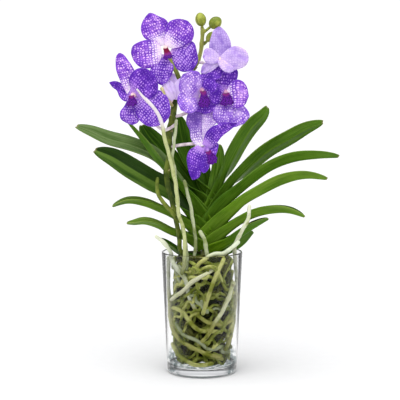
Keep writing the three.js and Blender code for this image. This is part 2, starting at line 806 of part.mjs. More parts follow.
// The leaf's upper face turns up and to the middle of the fan, then rolls to the front
// over the first half of the leaf.
function leaf({ path, width, fold, roll }) {
  const curve = smoothCurve(path);
  const inward = new THREE.Vector3(path[0][0] > path.at(-1)[0] ? 1 : -1, 0, 0);
  const rings = [];
  for (let i = 0; i <= LEAF_STATIONS; i += 1) {
    const u = i / LEAF_STATIONS;
    const keel = curve.getPointAt(u);
    const along = curve.getTangentAt(u);
    const level = new THREE.Vector3().addVectors(UP, inward.clone().multiplyScalar(0.6));
    const normal = level.addScaledVector(along, -level.dot(along)).normalize();
    const across = new THREE.Vector3().crossVectors(along, normal).normalize();
    if (across.dot(AWAY) < 0) across.negate();
    const turn = THREE.MathUtils.degToRad(roll) * smoothstep(0.05, 0.55, u);
    const face = normal.clone()
      .multiplyScalar(Math.cos(turn))
      .addScaledVector(across, -Math.sin(turn));
    const side = across.multiplyScalar(Math.cos(turn)).addScaledVector(normal, Math.sin(turn));
    rings.push(leafSection(keel, side, face, (width / 2) * leafOutline(u), leafFold(u, fold)));
  }
  return loft(rings);
}

function leafSection(keel, side, face, half, fold) {
  const place = (sideways, upward) => keel.clone()
    .addScaledVector(side, sideways)
    .addScaledVector(face, upward);
  const out = half * Math.cos(fold);
  const rise = half * Math.sin(fold);
  const edgeOut = LEAF_EDGE_THICKNESS * Math.sin(fold);
  const edgeDown = LEAF_EDGE_THICKNESS * Math.cos(fold);
  return [
    place(-out, rise),
    place(0, 0),
    place(out, rise),
    place(out + edgeOut, rise - edgeDown),
    place(0, -LEAF_THICKNESS / Math.cos(fold)),
    place(-out - edgeOut, rise - edgeDown),
  ];
}

// Each leaf's flattened width, how far its halves stand up from flat and how far its upper face
// turns to the front, both in degrees, and its keel from the stem to its tip.
const LEAVES = {
  leaf_left_1: {
    width: 33,
    fold: 25,
    roll: 42,
    path: [
      [-3, 8, 218], [-30, 6, 269], [-53, 0, 303], [-71, -5, 322], [-101, -14, 336],
      [-137, -22, 347], [-161, -28, 358], [-183, -33, 367],
    ],
  },
  leaf_left_2: {
    width: 35,
    fold: 20,
    roll: 76,
    path: [
      [-3, 3, 202], [-33, -4, 248], [-52, -12, 274], [-74, -22, 287], [-102, -36, 305],
      [-129, -50, 323], [-154, -60, 334],
    ],
  },
  leaf_left_3: {
    width: 31,
    fold: 55,
    roll: 0,
    path: [
      [-4, 4, 190], [-29, 2, 219], [-50, -2, 233], [-63, -5, 239], [-84, -10, 248],
      [-108, -16, 253], [-132, -21, 248],
    ],
  },
  leaf_left_4: {
    width: 31,
    fold: 48,
    roll: 0,
    path: [
      [-4, 0, 179], [-28, -6, 198], [-47, -14, 207], [-69, -24, 219], [-84, -31, 224],
      [-99, -36, 224], [-110, -40, 226],
    ],
  },
  leaf_left_5: {
    width: 26,
    fold: 40,
    roll: 10,
    path: [[-6, -2, 159], [-28, -4, 172], [-42, -8, 182], [-55, -12, 193], [-64, -16, 200]],
  },
  leaf_left_6: {
    width: 30,
    fold: 45,
    roll: 0,
    path: [
      [-2, 10, 226], [-31, -4, 271], [-53, -14, 298], [-72, -22, 321], [-87, -28, 344],
      [-107, -35, 372],
    ],
  },
  leaf_left_7: {
    width: 40,
    fold: 22,
    roll: 55,
    path: [
      [0, 17, 236], [-23, 24, 279], [-44, 30, 307], [-65, 34, 331], [-80, 36, 349], [-91, 38, 367],
    ],
  },
  leaf_left_8: {
    width: 34,
    fold: 25,
    roll: 60,
    path: [[8, 19, 246], [-7, 26, 290], [-19, 32, 317], [-30, 38, 343], [-36, 43, 382]],
  },
  leaf_centre_1: {
    width: 30,
    fold: 30,
    roll: 85,
    path: [[10, 18, 240], [7, 26, 268], [1, 33, 298], [-5, 37, 326]],
  },
  leaf_centre_2: {
    width: 22,
    fold: 35,
    roll: -88,
    path: [[15, 15, 246], [20, 14, 285], [24, 12, 314], [26, 10, 339]],
  },
  leaf_right_1: {
    width: 34,
    fold: 20,
    roll: -60,
    path: [
      [18, 13, 234], [30, 18, 274], [41, 24, 304], [56, 30, 334], [73, 34, 360], [93, 36, 382],
      [99, 36, 394],
    ],
  },
  leaf_right_2: {
    width: 31,
    fold: 20,
    roll: -60,
    path: [
      [16, 11, 220], [32, 10, 255], [49, 10, 282], [72, 8, 306], [96, 5, 327], [130, -2, 348],
      [153, -8, 362], [178, -14, 372],
    ],
  },
  leaf_right_3: {
    width: 38,
    fold: 58,
    roll: -15,
    path: [
      [14, 8, 206], [35, 2, 244], [55, -3, 264], [77, -8, 283], [104, -13, 302], [135, -18, 314],
      [168, -22, 319], [200, -24, 321],
    ],
  },
  leaf_right_4: {
    width: 41,
    fold: 56,
    roll: -12,
    path: [
      [13, 3, 193], [35, -4, 221], [54, -12, 242], [63, -15, 251], [87, -23, 266], [120, -32, 283],
      [148, -40, 291], [181, -45, 290],
    ],
  },
  leaf_right_5: {
    width: 35,
    fold: 56,
    roll: -8,
    path: [
      [12, 2, 179], [24, -2, 192], [37, -7, 205], [56, -13, 221], [79, -19, 233], [102, -24, 239],
      [125, -28, 240], [150, -32, 234],
    ],
  },
  leaf_right_6: {
    width: 34,
    fold: 52,
    roll: -5,
    path: [
      [13, 0, 170], [31, -3, 184], [47, -7, 195], [66, -13, 209], [82, -18, 220], [98, -22, 231],
    ],
  },
  leaf_right_7: {
    width: 35,
    fold: 45,
    roll: -30,
    path: [[15, 6, 165], [33, 12, 171], [51, 20, 179], [65, 26, 189], [78, 32, 205]],
  },
};

for (const [name, shape] of Object.entries(LEAVES)) add(name, leaf(shape), LEAF_GREEN());

export default orchid;
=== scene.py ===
# %% [markdown]
# # A violet vanda orchid in a glass vase
# The plant stands bare-rooted: a fan of leathery strap leaves, one flower stem with seven
# netted flowers and three buds, and a great many thick roots that wind round inside the glass.
# Every piece here is laid over the measured model, which is in metres, with +Z up and the
# flowers facing -Y. So the numbers below are the plant's own, and nothing is fitted by eye.

import math
import random

import bpy
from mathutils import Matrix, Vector, noise
from mathutils.geometry import interpolate_bezier


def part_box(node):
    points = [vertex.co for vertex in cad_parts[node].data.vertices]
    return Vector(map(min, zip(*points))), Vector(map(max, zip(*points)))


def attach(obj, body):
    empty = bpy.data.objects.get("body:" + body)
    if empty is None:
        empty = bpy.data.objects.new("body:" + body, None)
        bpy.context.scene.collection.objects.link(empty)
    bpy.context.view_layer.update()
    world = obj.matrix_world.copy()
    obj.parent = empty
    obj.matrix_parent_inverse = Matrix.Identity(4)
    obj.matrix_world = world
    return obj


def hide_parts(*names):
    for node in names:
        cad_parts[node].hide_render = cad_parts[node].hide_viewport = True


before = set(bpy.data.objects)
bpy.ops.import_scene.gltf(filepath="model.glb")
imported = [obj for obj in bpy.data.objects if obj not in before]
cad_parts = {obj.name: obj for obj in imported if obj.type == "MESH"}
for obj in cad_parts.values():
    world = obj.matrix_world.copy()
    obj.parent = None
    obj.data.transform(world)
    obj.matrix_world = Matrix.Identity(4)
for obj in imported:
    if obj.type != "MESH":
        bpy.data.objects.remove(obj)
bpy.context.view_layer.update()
MM = 0.001

# %% [markdown]
# ## A few hand tools
# Blender's operators act on whatever is selected, so each step starts by letting go of
# everything. Stalks, roots and leaves all follow smooth lines through a few measured points.
# Such a line could be a curve object, but even steps along it are needed too, so it is worked
# out here once: a bezier piece between each two points, then points a fixed way apart.

# %% Let go, smooth, and step along a line
UP = Vector((0, 0, 1))


def let_go():
    if bpy.context.mode != "OBJECT":
        bpy.ops.object.mode_set(mode="OBJECT")
    bpy.ops.object.select_all(action="DESELECT")


def pick_up(obj):
    let_go()
    obj.select_set(True)
    bpy.context.view_layer.objects.active = obj


def ease(start, end, x):
    """0 before start, 1 after end, and a soft slope between them."""
    t = min(1.0, max(0.0, (x - start) / (end - start)))
    return t * t * (3 - 2 * t)


def mix(a, b, t):
    return a + (b - a) * t


def smooth_line(points_mm):
    """Many close points on a smooth line through the given ones, in metres."""
    knots = [Vector(point) * MM for point in points_mm]
    knots = [knots[0] * 2 - knots[1], *knots, knots[-1] * 2 - knots[-2]]
    line = []
    for before, start, end, after in zip(knots, knots[1:], knots[2:], knots[3:]):
        lead, span, trail = [
            math.sqrt((q - p).length) for p, q in ((before, start), (start, end), (end, after))
        ]
        leave = (start - before) / lead - (end - before) / (lead + span) + (end - start) / span
        arrive = (end - start) / span - (after - start) / (span + trail) + (after - end) / trail
        reach = span / 3
        line += interpolate_bezier(start, start + leave * reach, end - arrive * reach, end, 25)[:-1]
    return [*line, knots[-2]]


def even_steps(line, count):
    """Count points, evenly spaced, from the first point of the line to the last."""
    travelled = [0.0]
    for a, b in zip(line, line[1:]):
        travelled.append(travelled[-1] + (b - a).length)
    steps, place = [], 0
    for i in range(count):
        target = travelled[-1] * i / (count - 1)
        while place < len(line) - 2 and travelled[place + 1] < target:
            place += 1
        stretch = travelled[place + 1] - travelled[place]
        steps.append(line[place].lerp(line[place + 1], (target - travelled[place]) / stretch))
    return steps


def length_of(line):
    return sum((b - a).length for a, b in zip(line, line[1:]))


print("even steps along a test line:", len(even_steps(smooth_line([[0, 0, 0], [5, 0, 9], [0, 0, 20]]), 7)))

# %% [markdown]
# Each finished piece is shaded smooth, rides on the plant's one body, and stands for a measured
# node.

# %% Hand a finished piece over
def settle(piece, name, slot, *nodes):
    pick_up(piece)
    bpy.ops.object.shade_smooth()
    piece.name = name
    piece.data.name = name
    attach(piece, "root")
    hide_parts(*nodes)
    let_go()
    return piece


def join(pieces):
    pick_up(pieces[0])
    for piece in pieces[1:]:
        piece.select_set(True)
    bpy.ops.object.join()
    return bpy.context.object


def apply_modifiers(piece):
    pick_up(piece)
    for modifier in list(piece.modifiers):
        bpy.ops.object.modifier_apply(modifier=modifier.name)


print("hand tools ready")

# %% [markdown]
# ## Wiring a finish
# A finish is a small graph of nodes. These helpers add a node, fill its sockets with numbers
# or with other nodes' outputs, and keep the recipes below short. Colours are written as they
# look on a screen, 0 to 255, and turned to light amounts here.

# %% Node helpers
def tint(red, green, blue):
    def light(value):
        value /= 255
        return value / 12.92 if value <= 0.04045 else ((value + 0.055) / 1.055) ** 2.4

    return (light(red), light(green), light(blue), 1.0)


def new_finish(name, roughness, specular=0.3):
    material = bpy.data.materials.new(name)
    material.use_nodes = True
    shader = material.node_tree.nodes["Principled BSDF"]
    shader.inputs["Roughness"].default_value = roughness
    shader.inputs["Specular IOR Level"].default_value = specular
    return material, material.node_tree, shader


def add_node(tree, kind, sockets, **settings):
    node = tree.nodes.new(kind)
    for setting, value in settings.items():
        setattr(node, setting, value)
    for socket, value in sockets.items():
        if isinstance(value, bpy.types.NodeSocket):
            tree.links.new(value, node.inputs[socket])
        else:
            node.inputs[socket].default_value = value
    return node


def math_node(tree, operation, *values, clamp=False):
    sockets = dict(enumerate(values))
    return add_node(tree, "ShaderNodeMath", sockets, operation=operation, use_clamp=clamp).outputs[0]


def times(tree, a, b):
    return math_node(tree, "MULTIPLY", a, b)


def split(tree, vector):
    return add_node(tree, "ShaderNodeSeparateXYZ", {0: vector}).outputs


def mix_colour(tree, amount, a, b):
    sockets = {"Factor": amount, 6: a, 7: b}
    return add_node(tree, "ShaderNodeMix", sockets, data_type="RGBA").outputs[2]


def fade(tree, value, start, end, low=0.0, high=1.0):
    """The value, eased from low to high as it goes from start to end."""
    sockets = {"Value": value, "From Min": start, "From Max": end, "To Min": low, "To Max": high}
    return add_node(tree, "ShaderNodeMapRange", sockets, interpolation_type="SMOOTHSTEP").outputs[0]


def clouds(tree, place, scale, detail=2.0, stretch=(1, 1, 1)):
    """Soft noise between 0 and 1. Stretch makes it long along one direction."""
    placed = add_node(tree, "ShaderNodeMapping", {"Vector": place, "Scale": stretch}).outputs[0]
    sockets = {"Vector": placed, "Scale": scale, "Detail": detail}
    return add_node(tree, "ShaderNodeTexNoise", sockets).outputs["Fac"]


def object_place(tree):
    return tree.nodes.new("ShaderNodeTexCoord").outputs["Object"]


def uv_place(tree, name):
    return add_node(tree, "ShaderNodeUVMap", {}, uv_map=name).outputs[0]


def raise_bumps(tree, shader, height, distance, strength=0.5):
    sockets = {"Height": height, "Distance": distance, "Strength": strength}
    bump = add_node(tree, "ShaderNodeBump", sockets)
    tree.links.new(bump.outputs[0], shader.inputs["Normal"])


def paint(tree, shader, colour):
    tree.links.new(colour, shader.inputs["Base Color"])


def finish(name):
    """A finish that was mixed earlier, by its name."""
    return bpy.data.materials[name]


print("mid violet as light:", [round(value, 3) for value in tint(141, 84, 205)])

# %% [markdown]
# ## The glass vase
# The vase is blown glass: an even wall that widens a little to a fire-rounded rim, and a floor
# as thick as a finger. It could be a cylinder with a wall from a Solidify modifier, but the
# light in glass shows every wrong thickness. So half of its section is drawn corner by corner,
# with the inside as well, and spun round the axis like clay on a wheel.

# %% Draw half of the vase's section
VASE_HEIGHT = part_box("vase")[1][2]
FOOT_RADIUS = 52 * MM
RIM_RADIUS = 60 * MM
WALL = 2.6 * MM
GLASS_FLOOR = 12 * MM
HEEL = 5 * MM


def vase_radius(height):
    return mix(FOOT_RADIUS, RIM_RADIUS, height / VASE_HEIGHT)


def arc(centre_x, centre_z, radius, start, end, pieces):
    turns = [math.radians(mix(start, end, i / pieces)) for i in range(pieces + 1)]
    return [(centre_x + math.cos(t) * radius, centre_z + math.sin(t) * radius) for t in turns]


inner_foot = vase_radius(GLASS_FLOOR) - WALL
section = [(0.0, 1.2 * MM), (30 * MM, 0.9 * MM), (41 * MM, 0.3 * MM)]
section += arc(FOOT_RADIUS - HEEL, HEEL, HEEL, -90, 0, 10)
section += arc(RIM_RADIUS - WALL / 2, VASE_HEIGHT - WALL / 2, WALL / 2, 0, 180, 10)
section += arc(inner_foot - HEEL, GLASS_FLOOR + HEEL, HEEL, 0, -90, 10)
section += [(30 * MM, GLASS_FLOOR - 0.4 * MM), (0.0, GLASS_FLOOR - 0.8 * MM)]
print("corners in the section:", len(section))

# %% Spin it into a vase
def draw_corners(corners):
    let_go()
    bpy.ops.mesh.primitive_plane_add(size=MM)
    bpy.ops.object.mode_set(mode="EDIT")
    bpy.ops.mesh.select_all(action="SELECT")
    bpy.ops.mesh.merge(type="CENTER")
    pen = Vector((0, 0, 0))
    for number, (out, height) in enumerate(corners):
        stroke = Vector((out, 0, height)) - pen
        if number == 0:
            bpy.ops.transform.translate(value=stroke)
        else:
            bpy.ops.mesh.extrude_vertices_move(TRANSFORM_OT_translate={"value": stroke})
        pen += stroke
    return bpy.context.object


vase = draw_corners(section)
bpy.ops.mesh.select_all(action="SELECT")
bpy.ops.mesh.spin(steps=120, angle=math.tau, center=(0, 0, 0), axis=(0, 0, 1))
bpy.ops.mesh.select_all(action="SELECT")
bpy.ops.mesh.remove_doubles(threshold=0.01 * MM)
bpy.ops.mesh.normals_make_consistent(inside=False)
bpy.ops.object.mode_set(mode="OBJECT")
print("faces in the vase:", len(vase.data.polygons))

# %% [markdown]
# Clear glass lets nearly all light straight through. What makes it look solid is the little
# that it swallows, which a volume inside the surface does. The thick foot shows most: light is
# thrown about in its rounded corner, which comes out as dark swirls above a dark bottom line.
# A glass with sharp corners would need no help, but here the swirls and the line are painted,
# by height and by how far out they lie. The surface is almost perfectly smooth, with the faint
# swell that blown glass keeps.

# %% Give it clear glass
SWIRLS_END, SWIRLS_FULL = 42 * MM, 22 * MM
LINE_END, LINE_FULL = 4.5 * MM, 2.2 * MM


def clear_glass():
    material, tree, shader = new_finish("clear_glass", 0.01, 0.5)
    shader.inputs["Transmission Weight"].default_value = 1.0
    shader.inputs["IOR"].default_value = 1.5
    shader.inputs["Specular Tint"].default_value = (0.2, 0.2, 0.2, 1)
    place = object_place(tree)
    x, y, height = split(tree, place)
    across = add_node(tree, "ShaderNodeCombineXYZ", {0: x, 1: y}).outputs[0]
    out = add_node(tree, "ShaderNodeVectorMath", {0: across}, operation="LENGTH").outputs["Value"]
    grazing = add_node(tree, "ShaderNodeLayerWeight", {"Blend": 0.5}).outputs["Facing"]
    swell = clouds(tree, place, 30, 1.0, (1, 1, 0.35))
    colour = mix_colour(tree, swell, (0.97, 0.98, 0.98, 1), (1, 1, 1, 1))
    colour = mix_colour(tree, fade(tree, grazing, 0.9, 1.0), colour, (0.98, 0.97, 1.0, 1))
    low = times(tree, fade(tree, height, SWIRLS_END, SWIRLS_FULL), fade(tree, grazing, 0.2, 0.42))
    swirls = times(tree, low, fade(tree, clouds(tree, place, 110, 2.0, (1, 1, 1.6)), 0.4, 0.52))
    colour = mix_colour(tree, swirls, colour, (0.10, 0.14, 0.14, 1))
    line = times(tree, fade(tree, height, LINE_END, LINE_FULL), fade(tree, out, 45 * MM, 48 * MM))
    paint(tree, shader, mix_colour(tree, line, colour, (0.03, 0.04, 0.04, 1)))
    raise_bumps(tree, shader, swell, 0.4 * MM, 0.25)
    swallow = add_node(tree, "ShaderNodeVolumeAbsorption", {})
    swallow.inputs["Color"].default_value = (0.50, 0.56, 0.60, 1)
    swallow.inputs["Density"].default_value = 1.8
    tree.links.new(swallow.outputs[0], tree.nodes["Material Output"].inputs["Volume"])
    return material


vase.data.materials.append(clear_glass())
settle(vase, "glass_vase", "glass", "vase")
print("height of the vase in mm:", round(VASE_HEIGHT / MM))

# %% [markdown]
# ## Strips: the start of every leaf and petal
# A leaf and a petal both begin as a flat strip with a grid of corners. One number runs along
# the strip and one across it, and a rule says where each corner goes. The strip keeps maps of
# itself: one in real centimetres, for patterns that have a real size, and one from 0 to 1, for
# whatever changes towards the tip or the edge. A petal has a third, its painted shading: how
# much painted shade and how much painted light it gets at each place. A Solidify modifier then
# gives the strip its thickness, with a second finish for its back, and one subdivision rounds it off.

# %% Lay a strip where a rule says
def lay_strip(along, across, where, measure, mood=None):
    let_go()
    bpy.ops.mesh.primitive_grid_add(x_subdivisions=along, y_subdivisions=across, size=2)
    strip = bpy.context.object
    mesh = strip.data
    mesh.uv_layers[0].name = "real"
    mesh.uv_layers.new(name="part")
    spots = [((c.co.x + 1) / 2, c.co.y) for c in mesh.vertices]
    for loop in mesh.loops:
        u, v = spots[loop.vertex_index]
        mesh.uv_layers["real"].data[loop.index].uv = measure(u, v)
        mesh.uv_layers["part"].data[loop.index].uv = (u, v / 2 + 0.5)
    for corner, (u, v) in zip(mesh.vertices, spots):
        corner.co = where(u, v)
    # A petal's third map carries painted shade and painted light.
    if mood:
        mesh.uv_layers.new(name="mood")
        for loop in mesh.loops:
            mesh.uv_layers["mood"].data[loop.index].uv = mood(mesh.vertices[loop.vertex_index].co)
    mesh.update()
    return strip


def face_towards(strip, direction):
    """Turns the strip's upper side to the given direction."""
    total = Vector((0, 0, 0))
    for face in strip.data.polygons:
        total += face.normal * face.area
    if total.dot(direction) < 0:
        pick_up(strip)
        bpy.ops.object.mode_set(mode="EDIT")
        bpy.ops.mesh.select_all(action="SELECT")
        bpy.ops.mesh.flip_normals()
        bpy.ops.object.mode_set(mode="OBJECT")


def thicken(strip, thickness, front, back):
    strip.data.materials.append(front)
    strip.data.materials.append(back)
    shell = strip.modifiers.new("thickness", "SOLIDIFY")
    shell.thickness = thickness
    shell.offset = -1
    shell.material_offset = 1
    shell.material_offset_rim = 1
    rounding = strip.modifiers.new("rounding", "SUBSURF")
    rounding.levels = rounding.render_levels = 1
    apply_modifiers(strip)


print("strip tools ready")

# %% [markdown]
# ## Leaf finish
# A leaf is dark and waxy, with veins that run its whole length, a lighter crease along the keel
# that is a painted highlight, a thin pale edge, and a tip that dries to brown. The veins are
# noise that is stretched fifty times longer than wide, laid on the centimetre map so that they
# follow each leaf round its bend. No two leaves catch the light alike. So one recipe makes
# several greens: dark, young with a lime foot, greyed by a painted reflection of the sky, pale,
# and one with painted light and shade: a painted highlight beside the keel and painted shade
# over its far half. The underside is lighter and duller, and has two greens of its own.

# %% Mix the greens of the leaves
def leaf_finish(name, dark, middle, light, roughness, specular, young=(0.0, 0.1), two_tone=0.0):
    dark, middle, light = tint(*dark), tint(*middle), tint(*light)
    material, tree, shader = new_finish(name, roughness, specular)
    real = uv_place(tree, "real")
    u, v, _ = split(tree, uv_place(tree, "part"))
    edge = math_node(tree, "ABSOLUTE", math_node(tree, "MULTIPLY_ADD", v, 2.0, -1.0))
    patches = clouds(tree, object_place(tree), 22, 3.0)
    veins = clouds(tree, real, 9.0, 3.0, (1.0, 0.02, 1.0))
    green = mix_colour(tree, fade(tree, patches, 0.3, 0.7), dark, middle)
    streaks = clouds(tree, real, 1.6, 2.0, (1.0, 0.08, 1.0))
    green = mix_colour(tree, fade(tree, streaks, 0.42, 0.68, 0.0, 0.3), green, light)
    green = mix_colour(tree, fade(tree, veins, 0.42, 0.72, 0.0, 0.55), green, light)
    lime = mix_colour(tree, fade(tree, veins, 0.4, 0.7), tint(84, 126, 8), tint(124, 162, 34))
    green = mix_colour(tree, fade(tree, u, young[1], young[0], 0.0, 0.85), green, lime)
    # The keel crease is lightened: a painted highlight.
    keel = fade(tree, edge, 0.0, 0.085, 0.5, 0.0)
    green = mix_colour(tree, keel, green, light)
    # Painted light and shade, on the leaves that ask for it: a band beside the keel is lightened as a
    # painted highlight, and the far half is darkened as painted shade.
    painted_highlight_band = times(tree, fade(tree, v, 0.2, 0.36), fade(tree, v, 0.52, 0.48, 0.0, two_tone))
    green = mix_colour(tree, painted_highlight_band, green, light)
    green = mix_colour(tree, fade(tree, v, 0.48, 0.54, 0.0, two_tone), green, tint(20, 48, 0))
    rim = times(tree, fade(tree, edge, 0.955, 1.0, 0.0, 0.5), fade(tree, u, 0.3, 0.8))
    green = mix_colour(tree, rim, green, tint(150, 160, 90))
    dry = fade(tree, u, 0.985, 1.0, 0.0, 0.7)
    paint(tree, shader, mix_colour(tree, dry, green, tint(140, 128, 84)))
    gloss = fade(tree, patches, 0.25, 0.8, roughness - 0.06, roughness + 0.1)
    tree.links.new(gloss, shader.inputs["Roughness"])
    raise_bumps(tree, shader, veins, 0.25 * MM, 0.35)
    return material


LEAF_GREENS = {
    "leaf_upper": ((24, 56, 2), (44, 82, 6), (84, 122, 30), 0.38, 0.06),
    "leaf_under": ((50, 88, 6), (72, 114, 14), (108, 144, 42), 0.42, 0.15),
    "young_upper": ((26, 58, 2), (48, 86, 6), (80, 120, 24), 0.36, 0.1, (0.2, 0.5)),
    "young_under": ((52, 94, 6), (72, 116, 14), (104, 142, 38), 0.42, 0.1, (0.2, 0.5)),
    "lime_upper": ((72, 114, 2), (88, 130, 8), (118, 156, 32), 0.36, 0.1, (0.6, 1.4)),
    # Greyed: the sky's reflection on the gloss is painted into this green.
    "grey_upper": ((58, 90, 26), (92, 122, 58), (138, 156, 104), 0.36, 0.15),
    "pale_upper": ((66, 98, 18), (96, 128, 38), (130, 152, 72), 0.36, 0.1),
    # A painted highlight beside the keel and painted shade over the far half.
    "two_tone_upper": ((24, 56, 2), (50, 86, 8), (96, 126, 48), 0.36, 0.15, (0.0, 0.1), 0.75),
    "pale_under": ((66, 104, 10), (92, 132, 20), (128, 158, 56), 0.42, 0.1),
}
for name, recipe in LEAF_GREENS.items():
    leaf_finish(name, *recipe)
UPPER_SIDES = {
    "leaf_left_1": "grey_upper", "leaf_left_2": "two_tone_upper", "leaf_left_3": "pale_upper",
    "leaf_left_4": "pale_upper", "leaf_centre_2": "lime_upper", "leaf_right_4": "pale_upper",
    "leaf_right_5": "young_upper", "leaf_right_6": "young_upper",
}
UNDER_SIDES = {
    "leaf_left_3": "pale_under", "leaf_left_4": "pale_under", "leaf_right_4": "pale_under",
    "leaf_right_5": "pale_under", "leaf_right_6": "young_under",
}
print("leaf finishes:", len(LEAF_GREENS))

# %% [markdown]
# ## The leaves
# Each leaf is a strap folded along its keel, nearly shut where it clasps the stem and open near
# the tip. Its halves are a little pillowed and their edges curl down, which is what breaks the
# light along a real leaf. The tip looks bitten off, as it does on this kind of orchid. Leaves
# could be bent flat strips from a Curve modifier, but the fold changes all the way along.

# %% The outline and the fold of a strap leaf
BASE_ENDS, TIP_STARTS = 0.4, 0.66


def leaf_outline(u):
    """The width along the leaf: broad where it clasps the stem, even, then rounded off."""
    if u < TIP_STARTS:
        return mix(1.5, 1, ease(0, BASE_ENDS, u))
    return math.sqrt(1 - ((u - TIP_STARTS) / 0.34) ** 2 * 0.95)


def leaf_fold(u, middle):
    """How far each half stands up from flat: nearly shut at the stem, then as the leaf's own."""
    opening = mix(64, middle, ease(0, 0.42, u))
    return math.radians(mix(opening, middle * 0.8, ease(0.6, 1, u)))


def leaf_directions(line, roll):
    """At each step along the keel: across the blade, and out of its upper face."""
    inward = Vector((1 if line[0].x > line[-1].x else -1, 0, 0))
    directions = []
    for i in range(len(line)):
        along = (line[min(i + 1, len(line) - 1)] - line[max(i - 1, 0)]).normalized()
        level = UP + inward * 0.6
        face = (level - along * level.dot(along)).normalized()
        across = along.cross(face).normalized()
        if across.y < 0:
            across.negate()
        turn = math.radians(roll) * ease(0.05, 0.55, i / (len(line) - 1))
        directions.append((
            across * math.cos(turn) + face * math.sin(turn),
            face * math.cos(turn) - across * math.sin(turn),
        ))
    return directions


LEAF_STEPS, LEAF_COLUMNS = 56, 12
print("half-way fold in degrees:", round(math.degrees(leaf_fold(0.5, 45))))

# %% Lay one leaf
LEAF_CURL, LEAF_WAVE = 0.08, 0.03


def lay_leaf(name, width, fold_middle, roll, path):
    line = even_steps(smooth_line(path), LEAF_STEPS + 1)
    directions = leaf_directions(line, roll)
    half = width / 2 * MM
    seed = sum(map(ord, name))

    def where(u, v):
        bite = 0.006 * (1 + v) + 0.004 * (1 - abs(v)) ** 3
        spot = u * (1 - bite * ease(0.8, 1, u)) * LEAF_STEPS
        first = min(int(spot), LEAF_STEPS - 1)
        keel = line[first].lerp(line[first + 1], spot - first)
        here, next_step = directions[first], directions[first + 1]
        across, face = [a.lerp(b, spot - first) for a, b in zip(here, next_step)]
        reach = half * leaf_outline(u)
        fold = leaf_fold(u, fold_middle)
        crease = math.sqrt(v * v + 0.006) - math.sqrt(0.006)
        pillow = 0.07 * math.sin(math.pi * min(1, abs(v)))
        pillow -= LEAF_CURL * abs(v) ** 4 * ease(0.1, 0.4, u)
        ripple = LEAF_WAVE * v * math.sin(9 * u + seed) * ease(0.15, 0.5, u)
        sideways = v * math.cos(fold) - math.copysign(pillow, v) * math.sin(fold)
        upward = crease * math.sin(fold) + pillow * math.cos(fold) + ripple
        return keel + across * (reach * sideways) + face * (reach * upward)

    long = length_of(line) * 100
    strip = lay_strip(LEAF_STEPS, LEAF_COLUMNS, where, lambda u, v: (v * half * 100, u * long))
    face_towards(strip, directions[LEAF_STEPS // 2][1])
    upper, under = UPPER_SIDES.get(name, "leaf_upper"), UNDER_SIDES.get(name, "leaf_under")
    thicken(strip, 1.5 * MM, finish(upper), finish(under))
    return settle(strip, name, "leaf", name)


print("leaf tool ready")

# %% [markdown]
# Seventeen leaves, each with its flattened width in millimetres, how far its halves stand up
# from flat, how far its upper face turns to the front, both in degrees, and the line of its
# keel from the stem to the tip.

